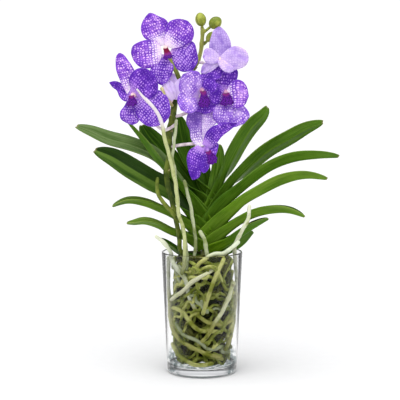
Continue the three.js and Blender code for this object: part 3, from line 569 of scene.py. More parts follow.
# %% Lay all the leaves
LEAVES = {
    "leaf_left_1": (33, 25, 42, [
        [-3, 8, 218], [-30, 6, 269], [-53, 0, 303], [-71, -5, 322], [-101, -14, 336],
        [-137, -22, 347], [-161, -28, 358], [-183, -33, 367],
    ]),
    "leaf_left_2": (35, 20, 76, [
        [-3, 3, 202], [-33, -4, 248], [-52, -12, 274], [-74, -22, 287], [-102, -36, 305],
        [-129, -50, 323], [-154, -60, 334],
    ]),
    "leaf_left_3": (31, 55, 0, [
        [-4, 4, 190], [-29, 2, 219], [-50, -2, 233], [-63, -5, 239], [-84, -10, 248],
        [-108, -16, 253], [-132, -21, 248],
    ]),
    "leaf_left_4": (31, 48, 0, [
        [-4, 0, 179], [-28, -6, 198], [-47, -14, 207], [-69, -24, 219], [-84, -31, 224],
        [-99, -36, 224], [-110, -40, 226],
    ]),
    "leaf_left_5": (26, 40, 10, [
        [-6, -2, 159], [-28, -4, 172], [-42, -8, 182], [-55, -12, 193], [-64, -16, 200],
    ]),
    "leaf_left_6": (30, 45, 0, [
        [-2, 10, 226], [-31, -4, 271], [-53, -14, 298], [-72, -22, 321], [-87, -28, 344],
        [-107, -35, 372],
    ]),
    "leaf_left_7": (40, 22, 55, [
        [0, 17, 236], [-23, 24, 279], [-44, 30, 307], [-65, 34, 331], [-80, 36, 349], [-91, 38, 367],
    ]),
    "leaf_left_8": (34, 25, 60, [
        [8, 19, 246], [-7, 26, 290], [-19, 32, 317], [-30, 38, 343], [-36, 43, 382],
    ]),
    "leaf_centre_1": (30, 30, 85, [[10, 18, 240], [7, 26, 268], [1, 33, 298], [-5, 37, 326]]),
    "leaf_centre_2": (22, 35, -88, [[15, 15, 246], [20, 14, 285], [24, 12, 314], [26, 10, 339]]),
    "leaf_right_1": (34, 20, -60, [
        [18, 13, 234], [30, 18, 274], [41, 24, 304], [56, 30, 334], [73, 34, 360], [93, 36, 382],
        [99, 36, 394],
    ]),
    "leaf_right_2": (31, 20, -60, [
        [16, 11, 220], [32, 10, 255], [49, 10, 282], [72, 8, 306], [96, 5, 327],
        [130, -2, 348], [153, -8, 362], [178, -14, 372],
    ]),
    "leaf_right_3": (38, 58, -15, [
        [14, 8, 206], [35, 2, 244], [55, -3, 264], [77, -8, 283], [104, -13, 302],
        [135, -18, 314], [168, -22, 319], [200, -24, 321],
    ]),
    "leaf_right_4": (41, 56, -12, [
        [13, 3, 193], [35, -4, 221], [54, -12, 242], [63, -15, 251], [87, -23, 266],
        [120, -32, 283], [148, -40, 291], [181, -45, 290],
    ]),
    "leaf_right_5": (35, 56, -8, [
        [12, 2, 179], [24, -2, 192], [37, -7, 205], [56, -13, 221], [79, -19, 233],
        [102, -24, 239], [125, -28, 240], [150, -32, 234],
    ]),
    "leaf_right_6": (34, 52, -5, [
        [13, 0, 170], [31, -3, 184], [47, -7, 195], [66, -13, 209], [82, -18, 220],
        [98, -22, 231],
    ]),
    "leaf_right_7": (35, 45, -30, [
        [15, 6, 165], [33, 12, 171], [51, 20, 179], [65, 26, 189], [78, 32, 205],
    ]),
}
for leaf_name, (leaf_width, leaf_middle, leaf_roll, leaf_path) in LEAVES.items():
    leaf = lay_leaf(leaf_name, leaf_width, leaf_middle, leaf_roll, leaf_path)
print("leaves laid:", len(LEAVES), "faces on the last:", len(leaf.data.polygons))

# %% [markdown]
# ## Stalks and roots
# Anything round and long starts as a curve object: a path through the measured points with a
# thickness at each one, turned to a mesh at the end. The thickness swells and thins a little,
# as living things do, and both ends close in a small dome instead of a flat cut.

# %% Draw a round stalk along a line
def dome(line, radii, at_end):
    """A few more points past one end, thinner and thinner, so that it closes round."""
    tip, before = (line[-1], line[-2]) if at_end else (line[0], line[1])
    radius = radii[-1] if at_end else radii[0]
    out = (tip - before).normalized()
    turns = [math.radians(angle) for angle in (25, 48, 68, 83)]
    points = [tip + out * radius * math.sin(turn) for turn in turns]
    thin = [radius * math.cos(turn) for turn in turns]
    return (points, thin) if at_end else (points[::-1], thin[::-1])


def draw_stalk(line, radii, corners=12):
    first_points, first_radii = dome(line, radii, False)
    last_points, last_radii = dome(line, radii, True)
    points = first_points + line + last_points
    thickness = first_radii + radii + last_radii
    let_go()
    bpy.ops.curve.primitive_nurbs_path_add()
    curve = bpy.context.object.data
    curve.splines.clear()
    spline = curve.splines.new("POLY")
    spline.points.add(len(points) - 1)
    for knot, place, radius in zip(spline.points, points, thickness):
        knot.co = (*place, 1)
        knot.radius = radius / MM
    curve.dimensions = "3D"
    curve.bevel_depth = MM
    curve.bevel_resolution = (corners - 4) // 2
    curve.use_fill_caps = True
    bpy.ops.object.convert(target="MESH")
    return bpy.context.object


def living_radii(line, radius, swell=0.1, scale=70, seed=0.0):
    """The radius at each point, swollen and thinned by soft noise."""
    shift = Vector((seed, seed * 0.37, 0))
    return [radius * (1 + swell * noise.noise(point * scale + shift)) for point in line]


def tapered(first, last, count):
    """Radii that go evenly from the first to the last, both in millimetres."""
    return [mix(first, last, i / (count - 1)) * MM for i in range(count)]


test_line = even_steps(smooth_line([[0, 0, 0], [0, 0, 20]]), 5)
print("radii in mm:", [round(radius / MM, 2) for radius in living_radii(test_line, 2 * MM)])

# %% [markdown]
# ## Stem
# The short stem between the leaves is the one woody part. Old leaf bases leave rings round it,
# so it gets a ridge every few millimetres, and a finish from green to straw.

# %% Make the stem
PALER_TOP_STARTS, PALER_TOP_FULL = 425 * MM, 470 * MM


def bark_finish(name, dark, pale, roughness, top=None):
    """Dark and pale in patches and streaks, and the colour of the top from a certain height on."""
    material, tree, shader = new_finish(name, roughness)
    place = object_place(tree)
    patches = clouds(tree, place, 90, 3.0)
    streaks = clouds(tree, place, 400, 3.0, (1, 1, 0.15))
    colour = mix_colour(tree, fade(tree, patches, 0.35, 0.68), dark, pale)
    colour = mix_colour(tree, fade(tree, streaks, 0.45, 0.8, 0.0, 0.5), colour, dark)
    if top:
        # Paler and yellower from a certain height up.
        paler_top = fade(tree, split(tree, place)[2], PALER_TOP_STARTS, PALER_TOP_FULL, 0.0, 0.7)
        colour = mix_colour(tree, paler_top, colour, top)
    paint(tree, shader, colour)
    raise_bumps(tree, shader, streaks, 0.3 * MM, 0.5)
    return material


STEM_PATH = [[4, 0, 122], [5, 2, 165], [6.5, 5, 190], [7, 9, 215], [11, 14, 240], [12, 15, 248]]
stem_line = even_steps(smooth_line(STEM_PATH), 90)
stem_radii = [7 * MM * (1 + 0.05 * abs(math.sin(i * 0.55))) for i in range(len(stem_line))]
stem = draw_stalk(stem_line, stem_radii, 20)
stem.data.materials.append(bark_finish("ringed_stem", tint(72, 88, 34), tint(140, 140, 84), 0.6))
settle(stem, "plant_stem", "stem", "stem")
print("stem length in mm:", round(length_of(stem_line) / MM))

# %% [markdown]
# ## Flower stem
# The flower stem leaves the plant low down, leans to the left and curls back at its top. At
# each joint it swells, turns a little, and carries a small dry scale where a flower's stalk
# grows out. One old scale low down has grown into a long hook.

# %% Find the joints
FLOWER_STEM_PATH = [
    [-8, -12, 150], [-20, -18, 166], [-32, -22, 185], [-33, -27, 200], [-35, -29, 215], [-38, -31, 230],
    [-44, -35, 259], [-50, -36, 283], [-51, -37, 303], [-47, -37, 325], [-47, -36, 346], [-47, -34, 361],
    [-43, -33, 375], [-40, -31, 396], [-37, -28, 414], [-29, -26, 428], [-17, -24, 442], [-7, -22, 458],
    [-2, -20, 473], [0, -20, 490], [1, -20, 504],
]
HOOK_PATH = [
    [-40, -33, 238], [-49, -37, 248], [-57, -40, 258], [-63, -42, 268], [-65, -43, 279], [-64, -43, 291],
]
JOINTS = [
    [-41, -33, 246], [-50, -37, 300], [-46, -37, 333], [-46, -34, 356], [-42, -33, 378], [-38, -29, 408],
    [-31, -27, 430], [-12, -23, 447], [-5, -21, 459], [0, -20, 484], [1, -20, 502],
]
STEM_GIRTH = [(0, 3.2), (0.35, 3.6), (0.55, 4.4), (0.68, 4.7), (0.8, 3.2), (1, 2.6)]
FLOWER_STEM_STEPS = 260
flower_line = even_steps(smooth_line(FLOWER_STEM_PATH), FLOWER_STEM_STEPS)
joint_spots = [Vector(joint) * MM for joint in JOINTS]
print("joints on the flower stem:", len(joint_spots))

# %% Swell the stem at its joints and add the scales
def joint_swell(point):
    nearest = min((point - spot).length for spot in joint_spots)
    return math.exp(-((nearest / (4.5 * MM)) ** 2))


def girth_at(t):
    for (start, girth), (end, next_girth) in zip(STEM_GIRTH, STEM_GIRTH[1:]):
        if t <= end:
            return mix(girth, next_girth, (t - start) / (end - start))


def dry_scale(number, spot):
    """A small pointed scale that clasps one side of the stem."""
    index = min(range(len(flower_line)), key=lambda i: (flower_line[i] - spot).length)
    index = min(max(index, 1), len(flower_line) - 2)
    along = (flower_line[index + 1] - flower_line[index - 1]).normalized()
    side = Vector((1 if number % 2 else -1, -0.7, 0))
    side = (side - along * side.dot(along)).normalized()
    across = along.cross(side)
    base = flower_line[index]

    def where(u, v):
        turn = v * mix(1.35, 0.2, u)
        out = taper[index] * 1.1 + 1.6 * MM * u * u
        rim = side * math.cos(turn) + across * math.sin(turn)
        return base + rim * out + along * (mix(-2.5, 5.0, u) * MM)

    strip = lay_strip(8, 6, where, lambda u, v: (v * 0.3, u * 0.8))
    face_towards(strip, side)
    thicken(strip, 0.5 * MM, finish("dry_scale"), finish("dry_scale"))
    return strip


bark_finish("flower_stem_skin", tint(56, 74, 8), tint(106, 120, 34), 0.45, tint(172, 178, 84))
bark_finish("hook_skin", tint(84, 100, 26), tint(132, 144, 52), 0.5)
bark_finish("dry_scale", tint(118, 112, 62), tint(168, 160, 108), 0.7)
taper = [girth_at(i / (FLOWER_STEM_STEPS - 1)) * MM for i in range(FLOWER_STEM_STEPS)]
swollen = [radius * (1 + 0.28 * joint_swell(point)) for radius, point in zip(taper, flower_line)]
flower_stem = draw_stalk(flower_line, swollen, 16)
flower_stem.data.materials.append(finish("flower_stem_skin"))
hook_line = even_steps(smooth_line(HOOK_PATH), 40)
hook = draw_stalk(hook_line, tapered(3.6, 2.4, len(hook_line)), 12)
hook.data.materials.append(finish("hook_skin"))
scales = [dry_scale(number, spot) for number, spot in enumerate(joint_spots)]
flower_stem = join([flower_stem, hook, *scales])
settle(flower_stem, "flower_stem_jointed", "stem", "flower_stem")
print("faces on the flower stem:", len(flower_stem.data.polygons))

# %% [markdown]
# ## Buds
# An unopened bud is three folded sepals pressed edge to edge, so a shallow seam runs down it
# three times. It starts as a ball that is drawn out, thinned at the tip and pinched along the
# seams. The colour goes from grass green at the stalk to lime.

# %% Make the three buds
def bud_finish():
    material, tree, shader = new_finish("bud_skin", 0.42)
    place = object_place(tree)
    patches = clouds(tree, place, 75, 2.0)
    freckles = clouds(tree, place, 700, 2.0)
    colour = mix_colour(tree, fade(tree, patches, 0.35, 0.65), tint(112, 128, 30), tint(166, 174, 66))
    colour = mix_colour(tree, fade(tree, freckles, 0.5, 0.75, 0.0, 0.4), colour, tint(196, 200, 110))
    turn, height, _ = split(tree, uv_place(tree, "UVMap"))
    # Darker along the three seams: painted shade in the creases.
    third = math_node(tree, "PINGPONG", times(tree, turn, 3.0), 0.5)
    colour = mix_colour(tree, fade(tree, third, 0.02, 0.12, 0.7, 0.0), colour, tint(84, 92, 16))
    colour = mix_colour(tree, fade(tree, height, 0.1, 0.3, 0.6, 0.0), colour, tint(92, 96, 20))
    paint(tree, shader, colour)
    raise_bumps(tree, shader, freckles, 0.15 * MM, 0.3)
    return material


def make_bud(name, start, middle, width, length):
    start, middle = Vector(start) * MM, Vector(middle) * MM
    along = (middle - start).normalized()
    side = along.orthogonal().normalized()
    across = along.cross(side)
    let_go()
    bpy.ops.mesh.primitive_uv_sphere_add(segments=36, ring_count=24, radius=1)
    ball = bpy.context.object
    for corner in ball.data.vertices:
        x, y, z = corner.co
        turn = math.atan2(y, x)
        seam = min(abs(math.remainder(turn - k * math.tau / 3, math.tau)) for k in range(3))
        pinch = 1 - 0.07 * math.exp(-((seam / 0.16) ** 2)) * (1 - z * z)
        plump = (1 - 0.08 * ease(0.1, 1, z)) * pinch * width / 2 * MM
        corner.co = middle + side * x * plump + across * y * plump + along * z * length / 2 * MM
    ball.data.materials.append(bud_skin)
    neck_line = even_steps([start, middle], 12)
    neck = draw_stalk(neck_line, tapered(2.1, 1.7, len(neck_line)), 12)
    neck.data.materials.append(bud_skin)
    return settle(join([ball, neck]), name, "bud", name)


bud_skin = bud_finish()
make_bud("bud_1", [1, -20, 504], [-2, -20, 519], 16, 20)
make_bud("bud_2", [3, -21, 501], [19, -25, 514], 17.5, 20)
bud = make_bud("bud_3", [3, -20, 484], [13, -25, 494], 13, 18)
print("faces on a bud:", len(bud.data.polygons))

# %% [markdown]
# ## Petal finish
# What makes this orchid is the net: deep violet lines that cross all over each petal and leave
# rows of pale squares between them. The net comes from a Voronoi texture, whose distance to
# the nearest cell edge draws the lines. Its cells are nearly square because its randomness is
# low, and they are three and a half millimetres across because it reads the centimetre map.
# Towards the claw the lines fade to almost white, and near the rim they thicken until they
# close. The map of painted shade and light makes them darker where shade is painted and paler
# where light is painted.

# %% Draw the violet net
NET_CELL = 3.4


def let_light_in(shader, radius):
    shader.inputs["Subsurface Weight"].default_value = 0.15
    shader.inputs["Subsurface Radius"].default_value = radius
    shader.inputs["Subsurface Scale"].default_value = 1.0 * MM


def net_texture(tree, place, randomness, **settings):
    cells = {"Vector": place, "Scale": 10 / NET_CELL, "Randomness": randomness}
    return add_node(tree, "ShaderNodeTexVoronoi", cells, voronoi_dimensions="2D", **settings).outputs


def net_width(tree, u, v, dusk, light, patches, fill):
    """How wide the lines are: more towards the tip, the rim and the painted shade, less in the painted
    light.
    """
    side = math_node(tree, "ABSOLUTE", math_node(tree, "SUBTRACT", v, 0.5))
    rim = math_node(tree, "MAXIMUM", fade(tree, u, 0.7, 1.0), fade(tree, side, 0.36, 0.5))
    from_claw = fade(tree, u, 0.05, 0.5, 0.0, 0.10)
    wide = math_node(tree, "ADD", from_claw, fade(tree, rim, 0.0, 1.0, fill, fill + 0.2))
    wide = math_node(tree, "ADD", wide, fade(tree, patches, 0.35, 0.7, 0.0, 0.18))
    wide = math_node(tree, "MULTIPLY_ADD", dusk, 0.12, wide)
    return math_node(tree, "MULTIPLY_ADD", light, -0.08, wide)


def net_finish(name, cell, net, deep, claw, fill=0.0, white=0.15):
    """Cells and lines in four colours. White is how far the pale claw reaches up the petal."""
    cell, net, deep, claw = tint(*cell), tint(*net), tint(*deep), tint(*claw)
    material, tree, shader = new_finish(name, 0.55, 0.2)
    let_light_in(shader, (0.9, 0.5, 1.0))
    real, part = uv_place(tree, "real"), uv_place(tree, "part")
    # The third map: painted shade and painted light at each place.
    dusk, light, _ = split(tree, uv_place(tree, "mood"))
    u, v, _ = split(tree, part)
    bend = add_node(tree, "ShaderNodeTexNoise", {"Vector": real, "Scale": 1.6, "Detail": 1.0})
    push = {0: bend.outputs["Color"], "Scale": 0.3}
    push = add_node(tree, "ShaderNodeVectorMath", push, operation="SCALE").outputs[0]
    bent = add_node(tree, "ShaderNodeVectorMath", {0: real, 1: push}).outputs[0]
    lines = net_texture(tree, bent, 0.5, feature="DISTANCE_TO_EDGE")["Distance"]
    lucky = net_texture(tree, bent, 0.5)["Color"]
    lucky = add_node(tree, "ShaderNodeSeparateColor", {0: lucky}).outputs[0]
    patches = clouds(tree, real, 0.9, 2.0)
    over = math_node(tree, "SUBTRACT", lines, net_width(tree, u, v, dusk, light, patches, fill))
    open_cell = math_node(tree, "MULTIPLY_ADD", over, 8.0, 0.2, clamp=True)
    net_tone = mix_colour(tree, fade(tree, patches, 0.3, 0.7), net, deep)
    net_tone = mix_colour(tree, fade(tree, dusk, 0.1, 1.0), net_tone, deep)
    net_tone = mix_colour(tree, fade(tree, u, white * 0.5, white * 2.2, 0.75, 0.0), net_tone, cell)
    net_tone = mix_colour(tree, fade(tree, light, 0.1, 1.0, 0.0, 0.35), net_tone, cell)
    cell_tone = mix_colour(tree, fade(tree, lucky, 0.0, 1.0, 0.0, 0.85), cell, net)
    cell_tone = mix_colour(tree, fade(tree, dusk, 0.1, 1.0, 0.0, 0.45), cell_tone, net)
    cell_tone = mix_colour(tree, fade(tree, u, 0.2, white * 3, 0.9, 0.0), cell_tone, claw)
    colour = mix_colour(tree, open_cell, net_tone, cell_tone)
    veins = clouds(tree, part, 14.0, 2.0, (0.12, 1.0, 1.0))
    burst = math_node(tree, "MULTIPLY_ADD", veins, 0.35, math_node(tree, "SUBTRACT", u, 0.175))
    near_claw = fade(tree, burst, white * 0.2, white, 1.0, 0.0)
    paler = times(tree, near_claw, fade(tree, open_cell, 0.0, 1.0, 0.62, 1.0))
    paint(tree, shader, mix_colour(tree, paler, colour, claw))
    raise_bumps(tree, shader, open_cell, 0.25 * MM, 0.35)
    return material


WHITE_CLAW, LILAC_CLAW = (248, 236, 252), (190, 150, 228)
NETS = {
    "netted_violet": ((236, 192, 252), (134, 72, 204), (100, 42, 178), WHITE_CLAW),
    "netted_dark": ((196, 142, 240), (106, 48, 186), (76, 22, 156), LILAC_CLAW, 0.06, 0.1),
    "netted_pale": ((236, 208, 252), (150, 104, 214), (122, 72, 196), LILAC_CLAW, 0.0, 0.12),
    "netted_low": ((228, 186, 250), (118, 62, 194), (88, 34, 168), LILAC_CLAW, 0.0, 0.06),
    "netted_faint": ((224, 198, 242), (182, 146, 220), (150, 108, 202), WHITE_CLAW, 0.0, 0.3),
    "netted_soft": ((186, 150, 222), (134, 96, 190), (106, 68, 172), WHITE_CLAW, 0.05, 0.2),
}
for name, recipe in NETS.items():
    net_finish(name, *recipe)
print("petal fronts:", len(NETS))

# %% [markdown]
# The back of a petal is a thin pale lilac, with the veins standing a little proud along it. The
# violet of the front glows through in patches, and its net shows faintly.

# %% Mix the petal backs
def back_finish(name, pale, violet, veins_strength, glow):
    pale, violet = tint(*pale), tint(*violet)
    material, tree, shader = new_finish(name, 0.6, 0.2)
    let_light_in(shader, (0.9, 0.6, 1.0))
    real = uv_place(tree, "real")
    u = split(tree, uv_place(tree, "part"))[0]
    veins = clouds(tree, real, 7.0, 3.0, (1.0, 0.12, 1.0))
    patches = clouds(tree, real, 0.55, 2.0)
    colour = mix_colour(tree, fade(tree, patches, 0.35, 0.72), pale, violet)
    colour = mix_colour(tree, fade(tree, veins, 0.5, 0.7, 0.0, veins_strength), colour, violet)
    lines = net_texture(tree, real, 0.6, feature="DISTANCE_TO_EDGE")["Distance"]
    colour = mix_colour(tree, fade(tree, lines, 0.05, 0.25, glow, 0.0), colour, violet)
    paint(tree, shader, mix_colour(tree, fade(tree, u, 0.8, 1.0, 0.0, 0.4), colour, violet))
    raise_bumps(tree, shader, veins, 0.3 * MM, 0.4)
    return material


BACKS = {
    "lilac_back": ((206, 180, 236), (168, 132, 214), 0.5, 0.3),
    "pale_back": ((228, 206, 244), (160, 126, 212), 0.5, 0.45),
    "dusky_back": ((202, 178, 232), (130, 96, 190), 0.6, 0.5),
    "white_back": ((234, 214, 250), (204, 178, 240), 0.35, 0.0),
}
for name, recipe in BACKS.items():
    back_finish(name, *recipe)
print("petal backs:", len(BACKS))

# %% [markdown]
# ## Petals and sepals
# Each flower has five blades: three sepals and two petals, much alike here. A blade narrows to
# a claw at the centre, widens, and rounds off. No two have the same outline, so each is laid
# between its own two measured edges, from the claw to the tip. It bows forward, cups at its
# edges and ruffles a little. By hand one would draw both edges and bridge them: this is the
# same, with the rows of corners counted out evenly.

# %% Lay one blade
BLADE_ROWS, BLADE_COLUMNS = 26, 16
EDGE_STEPS = 4 * BLADE_ROWS
BLADE_CUP, BLADE_RUFFLE = 2 * MM, 1.8 * MM
VIEWER = Vector((0, -1, 0))


def edge_line(corners, depths):
    """One edge of a blade from the claw to the tip, in even steps, with its depth."""
    line = even_steps(smooth_line([(x, 0, z) for x, z in corners]), EDGE_STEPS + 1)
    for i, spot in enumerate(line):
        spot.y = mix(*depths, i / EDGE_STEPS) * MM
    return line


def point_on(line, t):
    place = t * (len(line) - 1)
    first = min(int(place), len(line) - 2)
    return line[first].lerp(line[first + 1], place - first)


def nearness(place, smudges):
    """1 at the middle of the nearest smudge, fading to 0 past its size."""
    away = [((place.x / MM - x) ** 2 + (place.z / MM - z) ** 2) / size**2 for x, z, size in smudges]
    return math.exp(-min(away)) if away else 0.0


def lay_blade(
    name, node, flower, depths, left, right, front="netted_violet", back="lilac_back", bow=3
):
    right = edge_line([*right, left[-1]], depths)
    left = edge_line(left, depths)
    widest = max((b - a).length for a, b in zip(left, right))
    long = (left[-1] - left[0]).length
    seed = sum(map(ord, name)) * 0.7

    def where(u, v):
        a, b = point_on(left, u * 0.98), point_on(right, u * 0.98)
        wave = v * v * (math.sin(5.5 * u + 2.2 * v + seed) + 0.6 * math.sin(13 * u + 3 * v + seed))
        wave += 0.4 * math.sin(7 * u + 5 * v + seed) - 1.2 * abs(v) ** 5
        rise = bow * MM * 4 * u * (1 - u) + BLADE_CUP * v * v * u
        rise += BLADE_RUFFLE * wave * ease(0.1, 0.5, u)
        groove = 0.5 * MM * math.exp(-((v / 0.1) ** 2)) * (1 - u)
        return a.lerp(b, (v + 1) / 2) + VIEWER * (rise - groove)

    def measure(u, v):
        wide = (point_on(right, u) - point_on(left, u)).length / widest
        return (v * widest / 2 * math.sqrt(wide) * 100, u * long * 100)

    # Painted shade and painted light, from the flower's smudges.
    def mood(place):
        return (nearness(place, flower.get("dusk", [])), nearness(place, flower.get("light", [])))

    strip = lay_strip(BLADE_ROWS, BLADE_COLUMNS, where, measure, mood)
    face_towards(strip, -VIEWER if flower.get("turned_away") else VIEWER)
    thicken(strip, 0.7 * MM, finish(front), finish(back))
    return settle(strip, name, "petal", node)


print("rows and columns of a blade:", BLADE_ROWS, BLADE_COLUMNS)

# %% [markdown]
# ## Column and lip
# At a flower's centre the stamens and the pistil have grown into one short column, cream, rosy
# or lilac. Under it hangs the lip, the odd petal out: small, thick and velvety, maroon in the
# throat, then magenta, then the darkest violet. It is one broad tongue that widens from the
# throat, with three raised ridges and a notched end.

# %% Finishes of the flower's centre
def column_finish(name, pale, flushed):
    material, tree, shader = new_finish(name, 0.4)
    place = object_place(tree)
    flush = fade(tree, clouds(tree, place, 160, 2.0), 0.35, 0.75)
    paint(tree, shader, mix_colour(tree, flush, tint(*pale), tint(*flushed)))
    raise_bumps(tree, shader, clouds(tree, place, 900, 2.0), 0.1 * MM, 0.3)
    return material


def lip_finish(name, throat, maroon):
    """The colours meet at two places along the lip, from 0 at the throat to 1 at the end."""
    material, tree, shader = new_finish(name, 0.6, 0.1)
    shader.inputs["Sheen Weight"].default_value = 0.04
    u, v, _ = split(tree, uv_place(tree, "part"))
    side = math_node(tree, "ABSOLUTE", math_node(tree, "MULTIPLY_ADD", v, 2.0, -1.0))
    velvet = clouds(tree, uv_place(tree, "real"), 7.0, 3.0)
    violet = mix_colour(tree, fade(tree, velvet, 0.4, 0.6), tint(40, 0, 80), tint(102, 26, 156))
    reach = math_node(tree, "MULTIPLY_ADD", side, 0.1, u)
    magenta = mix_colour(tree, fade(tree, reach, throat, throat + 0.2), tint(124, 34, 118), violet)
    paint(tree, shader, mix_colour(tree, fade(tree, reach, throat - 0.2, throat), maroon, magenta))
    raise_bumps(tree, shader, velvet, 0.2 * MM, 0.4)
    return material


column_finish("cream_column", (250, 222, 196), (236, 196, 216))
column_finish("rosy_column", (206, 158, 176), (168, 112, 168))
column_finish("lilac_column", (176, 130, 212), (140, 94, 188))
lip_finish("velvet_lip", 0.16, tint(110, 60, 90))
lip_finish("rosy_lip", 0.56, tint(118, 10, 56))
print("centre finishes: three for columns, two for lips")

# %% Make a column and a lip
def make_column(name, node, centre, face, down, skin):
    across = face.cross(down).normalized()
    start = Vector(centre) * MM
    let_go()
    bpy.ops.mesh.primitive_uv_sphere_add(segments=24, ring_count=16, radius=1)
    ball = bpy.context.object
    for corner in ball.data.vertices:
        x, y, z = corner.co
        hollow = 1 - 0.35 * ease(0.2, 0.9, z) * ease(0.0, 1.0, y)
        wide = (4.0 - 0.9 * ease(-0.4, 0.6, z)) * MM * hollow
        middle = start + face * (2.5 * MM + z * 6.5 * MM)
        corner.co = middle + across * x * wide + down * y * wide
    ball.data.materials.append(skin)
    return settle(ball, name, "petal", node)


TONGUE_LENGTH = 17


def make_lip(name, node, centre, face, down, width, length, velvet):
    """A tongue that widens from a narrow throat into a broad lobe with a notched end."""
    start = Vector(centre) * MM + face * 6.0 * MM + down * 1.5 * MM
    direction = (down + face * 0.45).normalized()
    across = direction.cross(face).normalized()
    front = across.cross(direction).normalized()
    if front.dot(face) < 0:
        front.negate()

    def tongue(u, v):
        notch = 0.10 * (1 - min(1, abs(v) * 2.2)) * ease(0.8, 1, u)
        spread = mix(3.2, 8.4, ease(0.15, 0.7, u)) * math.sqrt(1 - ease(0.72, 1.0, u) * 0.8)
        spread *= 1 + 0.1 * math.sin(7.5 * u + 1.3 * v)
        ridges = 0.9 * math.exp(-((v / 0.16) ** 2))
        ridges += 0.7 * math.exp(-(((abs(v) - 0.45) / 0.14) ** 2))
        lift = 1.2 + ridges * (1 - 0.6 * u) + 2.4 * v * v * (1 - ease(0.2, 0.5, u)) + 2.0 * u * u
        lift -= 2.6 * abs(v) ** 3 * ease(0.35, 0.7, u)
        spot = direction * (u - notch) * TONGUE_LENGTH * length + across * v * spread * width
        return start + (spot + front * lift) * MM

    strip = lay_strip(24, 14, tongue, lambda u, v: (v * 0.7, u * 1.7))
    face_towards(strip, front)
    thicken(strip, 1.3 * MM, velvet, velvet)
    return settle(strip, name, "lip", node)


print("centre tools ready")

# %% [markdown]
# ## Flower stalks
# Each flower hangs on a slender stalk that is really its ovary: pinkish white or cream, finely
# grained and slightly thicker towards the flower.

# %% Make a flower's stalk
STALK_STEPS = 60


def ovary_finish(name, pale, shaded):
    material, tree, shader = new_finish(name, 0.45)
    place = object_place(tree)
    patches = fade(tree, clouds(tree, place, 110, 2.0), 0.35, 0.68)
    grain = clouds(tree, place, 800, 2.0)
    colour = mix_colour(tree, patches, tint(*pale), tint(*shaded))
    colour = mix_colour(tree, fade(tree, grain, 0.5, 0.8, 0.0, 0.4), colour, tint(178, 170, 140))
    paint(tree, shader, colour)
    raise_bumps(tree, shader, grain, 0.15 * MM, 0.3)
    return material


def make_stalk(name, path, skin, node, size):
    line = even_steps(smooth_line(path), STALK_STEPS)
    shares = [ease(0.5, 0.9, i / (STALK_STEPS - 1)) for i in range(STALK_STEPS)]
    stalk = draw_stalk(line, [mix(2.3, 2.6, share) * size * MM for share in shares], 12)
    stalk.data.materials.append(finish(skin))
    return settle(stalk, name, "stalk", node)


ovary_finish("pink_stalk", (236, 222, 228), (198, 176, 190))
ovary_finish("cream_stalk", (226, 216, 172), (176, 168, 100))
print("steps along a stalk:", STALK_STEPS)

# %% [markdown]
# ## The seven flowers
# Each entry gives the flower's centre, the way it faces, the way its lip hangs, the line of its
# stalk and its five blades, in millimetres. A blade has the depths at which it starts and ends,
# its finishes where they aren't the usual ones, and its left and right edges: points (across,
# up) from the claw on. The left edge goes on to the tip, which the right one shares. Smudges of
# painted shade, on flower 2 also a root's painted shadow, and of painted light lie on the whole
# flower, as (across, up, size).

